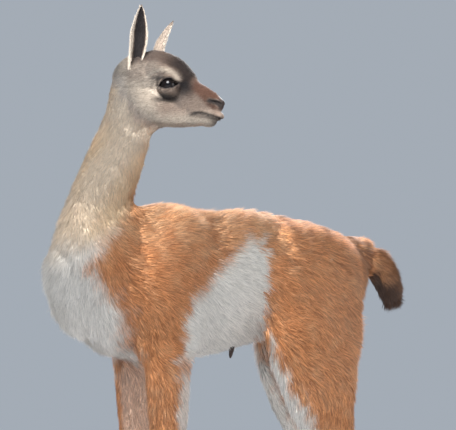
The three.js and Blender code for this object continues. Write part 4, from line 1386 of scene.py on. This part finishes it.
class GUANACO_OT_eyes(bpy.types.Operator):
    """Builds the eyes: dark wet balls with a wide pupil"""

    bl_idname = "guanaco.eyes"
    bl_label = "Eyes"

    def execute(self, context):
        material, shader = principled("eye", rgb(14, 10, 9), 0.06, Specular_IOR_Level=0.2)
        tree = material.node_tree
        ramp = node(tree, "ShaderNodeValToRGB")
        iris = node(tree, "ShaderNodeAttribute", attribute_name="iris")
        stops = ramp.color_ramp.elements
        stops[0].position, stops[0].color = 0.30, (0.004, 0.004, 0.005, 1)
        stops[1].position, stops[1].color = 0.42, (*rgb(18, 12, 10), 1)
        outer = stops.new(0.80)
        outer.color = (*rgb(8, 6, 6), 1)
        tree.links.new(iris.outputs["Fac"], ramp.inputs["Fac"])
        tree.links.new(ramp.outputs["Color"], shader.inputs["Base Color"])
        for name, s in (("left", 1), ("right", -1)):
            centre, gaze, rise, along = eye_axes(s)
            rings, spokes = 40, 64
            points, value, faces = [], [], []
            for i in range(rings + 1):
                a = math.pi * i / rings
                for j in range(spokes):
                    b = 2 * math.pi * j / spokes
                    high, wide = math.sin(a) * math.cos(b), math.sin(a) * math.sin(b)
                    way = gaze * math.cos(a) + math.sin(a) * (rise * math.cos(b) + along * math.sin(b))
                    points.append(centre + way * EYE_RADIUS)
                    value.append(math.hypot(high * 1.5, wide) if a < math.pi / 2 else 1)
            for i in range(rings):
                for j in range(spokes):
                    k = (j + 1) % spokes
                    faces.append((i * spokes + j, i * spokes + k, (i + 1) * spokes + k, (i + 1) * spokes + j))
            mesh = new_mesh("eyeball_" + name, to_row(points), np.array(faces))
            give(mesh, "iris", value)
            change(mesh, close_poles)
            Build.pieces["eye_" + name] = put("eyeball_" + name, mesh, material)
        return {"FINISHED"}


def close_poles(b):
    bmesh.ops.remove_doubles(b, verts=b.verts, dist=1e-6)
    bmesh.ops.recalc_face_normals(b, faces=b.faces)


class GUANACO_OT_nails(bpy.types.Operator):
    """Builds the eight nails and the dried stump of the navel cord"""

    bl_idname = "guanaco.nails"
    bl_label = "Nails and stump"

    def execute(self, context):
        horn, _ = principled("nail", rgb(58, 50, 44), 0.42)
        hair_bump(horn, 300.0, 0.2)
        for name, x, y, way in toe_roots():
            stations = [
                (x - 25, y + way * 3, 21, 5.6, 5, 4.6),
                (x - 38, y + way * 3.4, 14.5, 5.8, 5, 5),
                (x - 45, y + way * 3.5, 9.5, 4.8, 4.2, 4),
                (x - 49.5, y + way * 3.6, 5.8, 2.8, 2.4, 2.2),
            ]
            points, faces = swept(stations)
            mesh = new_mesh("claw", to_row(points), faces)
            outward(mesh)
            label = name + ("_inner" if way * LEGS[name][1] < 0 else "_outer")
            Build.pieces["nail_" + label] = put("claw_" + label, mesh, horn)
        cord, _ = principled("navel_cord", rgb(52, 38, 32), 0.75)
        hair_bump(cord, 500.0, 0.6)
        low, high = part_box("navel_stump")
        c = np.array((low + high) / 2) / MM - SHIFT
        stations = [
            (c[0] + 1, c[1], c[2] + 14, 4.6, 4.6, 4.6),
            (c[0] - 0.5, c[1], c[2] + 3, 4.3, 4.3, 4.3),
            (c[0] - 2, c[1], c[2] - 6, 3.0, 3.2, 3.2),
            (c[0] - 3, c[1], c[2] - 12, 1.3, 1.4, 1.4),
        ]
        points, faces = swept(stations, ahead=(1, 0, 0), rough=0.12)
        mesh = new_mesh("stump", to_row(points), faces)
        outward(mesh)
        Build.pieces["navel_stump"] = put("stump", mesh, cord)
        return {"FINISHED"}


FLOOR_HALF = 40


class GUANACO_OT_stage(bpy.types.Operator):
    """Sets the floor, the lights and the camera"""

    bl_idname = "guanaco.stage"
    bl_label = "Stage"

    def execute(self, context):
        _, stage = props()
        ground, _ = principled("floor", tuple(stage.floor), 0.9)
        corners = FLOOR_HALF * np.array([(-1, -1, 0), (1, -1, 0), (1, 1, 0), (-1, 1, 0)], float)
        floor = put("floor", new_mesh("floor", corners, np.array([(0, 1, 2, 3)])), ground)
        floor.location.z = -0.0004
        world = bpy.data.worlds.new("studio")
        world.use_nodes = True
        sky = world.node_tree.nodes["Background"]
        sky.inputs["Color"].default_value = (*rgb(206, 216, 228), 1)
        sky.inputs["Strength"].default_value = 0.6
        context.scene.world = world
        target = Vector(to_row((22 * 0.927, -22 * 0.375, 675)))
        for name, place, power, width in (
            ("key", (-2.3, -2.8, 3.2), stage.key_power, 2.4),
            ("fill", (2.4, -3.4, 1.2), stage.fill_power, 2.5),
            ("rim", (1.6, 2.6, 2.6), stage.key_power * 0.6, 1.5),
        ):
            light = bpy.data.lights.new(name, "AREA")
            light.energy = power
            light.shape = "DISK"
            light.size = width
            lamp = bpy.data.objects.new(name, light)
            context.scene.collection.objects.link(lamp)
            lamp.location = place
            lamp.rotation_euler = (target - Vector(place)).to_track_quat("-Z", "Y").to_euler()
        azimuth, rise = math.radians(-22), math.radians(7.5)
        flat = math.cos(rise)
        look = Vector((math.sin(-azimuth) * flat, math.cos(azimuth) * flat, math.sin(rise)))
        camera = bpy.data.objects.new("camera", bpy.data.cameras.new("camera"))
        camera.data.sensor_width = 36
        camera.data.lens = 195.0
        camera.data.clip_end = 200
        context.scene.collection.objects.link(camera)
        camera.location = target - look * stage.distance
        camera.rotation_euler = look.to_track_quat("-Z", "Y").to_euler()
        context.scene.camera = camera
        context.scene.view_settings.view_transform = "Standard"
        return {"FINISHED"}


class GUANACO_PT_panel(bpy.types.Panel):
    """Lists the pieces and their settings"""

    bl_idname = "GUANACO_PT_panel"
    bl_label = "Young guanaco"
    bl_space_type = "VIEW_3D"
    bl_region_type = "UI"
    bl_category = "Guanaco"

    def draw(self, context):
        for group in (context.scene.guanaco_coat, context.scene.guanaco_stage):
            for name in group.__annotations__:
                self.layout.prop(group, name)
        for operator in OPERATORS:
            self.layout.operator(operator.bl_idname)


OPERATORS = (
    GUANACO_OT_skin,
    GUANACO_OT_coat,
    GUANACO_OT_ears,
    GUANACO_OT_eyes,
    GUANACO_OT_nails,
    GUANACO_OT_stage,
)
CLASSES = (GuanacoCoat, GuanacoStage, *OPERATORS, GUANACO_PT_panel)


def register():
    for item in CLASSES:
        bpy.utils.register_class(item)
    bpy.types.Scene.guanaco_coat = bpy.props.PointerProperty(type=GuanacoCoat)
    bpy.types.Scene.guanaco_stage = bpy.props.PointerProperty(type=GuanacoStage)


def unregister():
    del bpy.types.Scene.guanaco_coat
    del bpy.types.Scene.guanaco_stage
    for item in reversed(CLASSES):
        bpy.utils.unregister_class(item)


def attach(obj, slot, *nodes):
    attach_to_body(obj, "root")
    if nodes:
        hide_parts(*nodes)


def attach_all():
    attach(Build.skin, "coat", *FLESH)
    slots = {"face": "face_coat", "neck": "neck_coat", "chest": "neck_coat", "tail": "tail_coat"}
    for region in REGIONS:
        attach(Build.pieces[region], slots.get(region, "coat"))
    for side in ("left", "right"):
        leaf, fur = Build.pieces["ear_" + side]
        attach(leaf, "ear_coat", "ear_" + side)
        attach(fur, "ear_coat")
        attach(Build.pieces["eye_" + side], "eye", "eye_" + side)
    for name, piece in Build.pieces.items():
        if name.startswith("nail_"):
            attach(piece, "nail", name)
    attach(Build.pieces["navel_stump"], "dried_cord", "navel_stump")


def main():
    register()
    for operator in OPERATORS:
        part, name = operator.bl_idname.split(".")
        getattr(getattr(bpy.ops, part), name)()
    attach_all()
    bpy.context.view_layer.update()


if __name__ == "__main__":
    main()
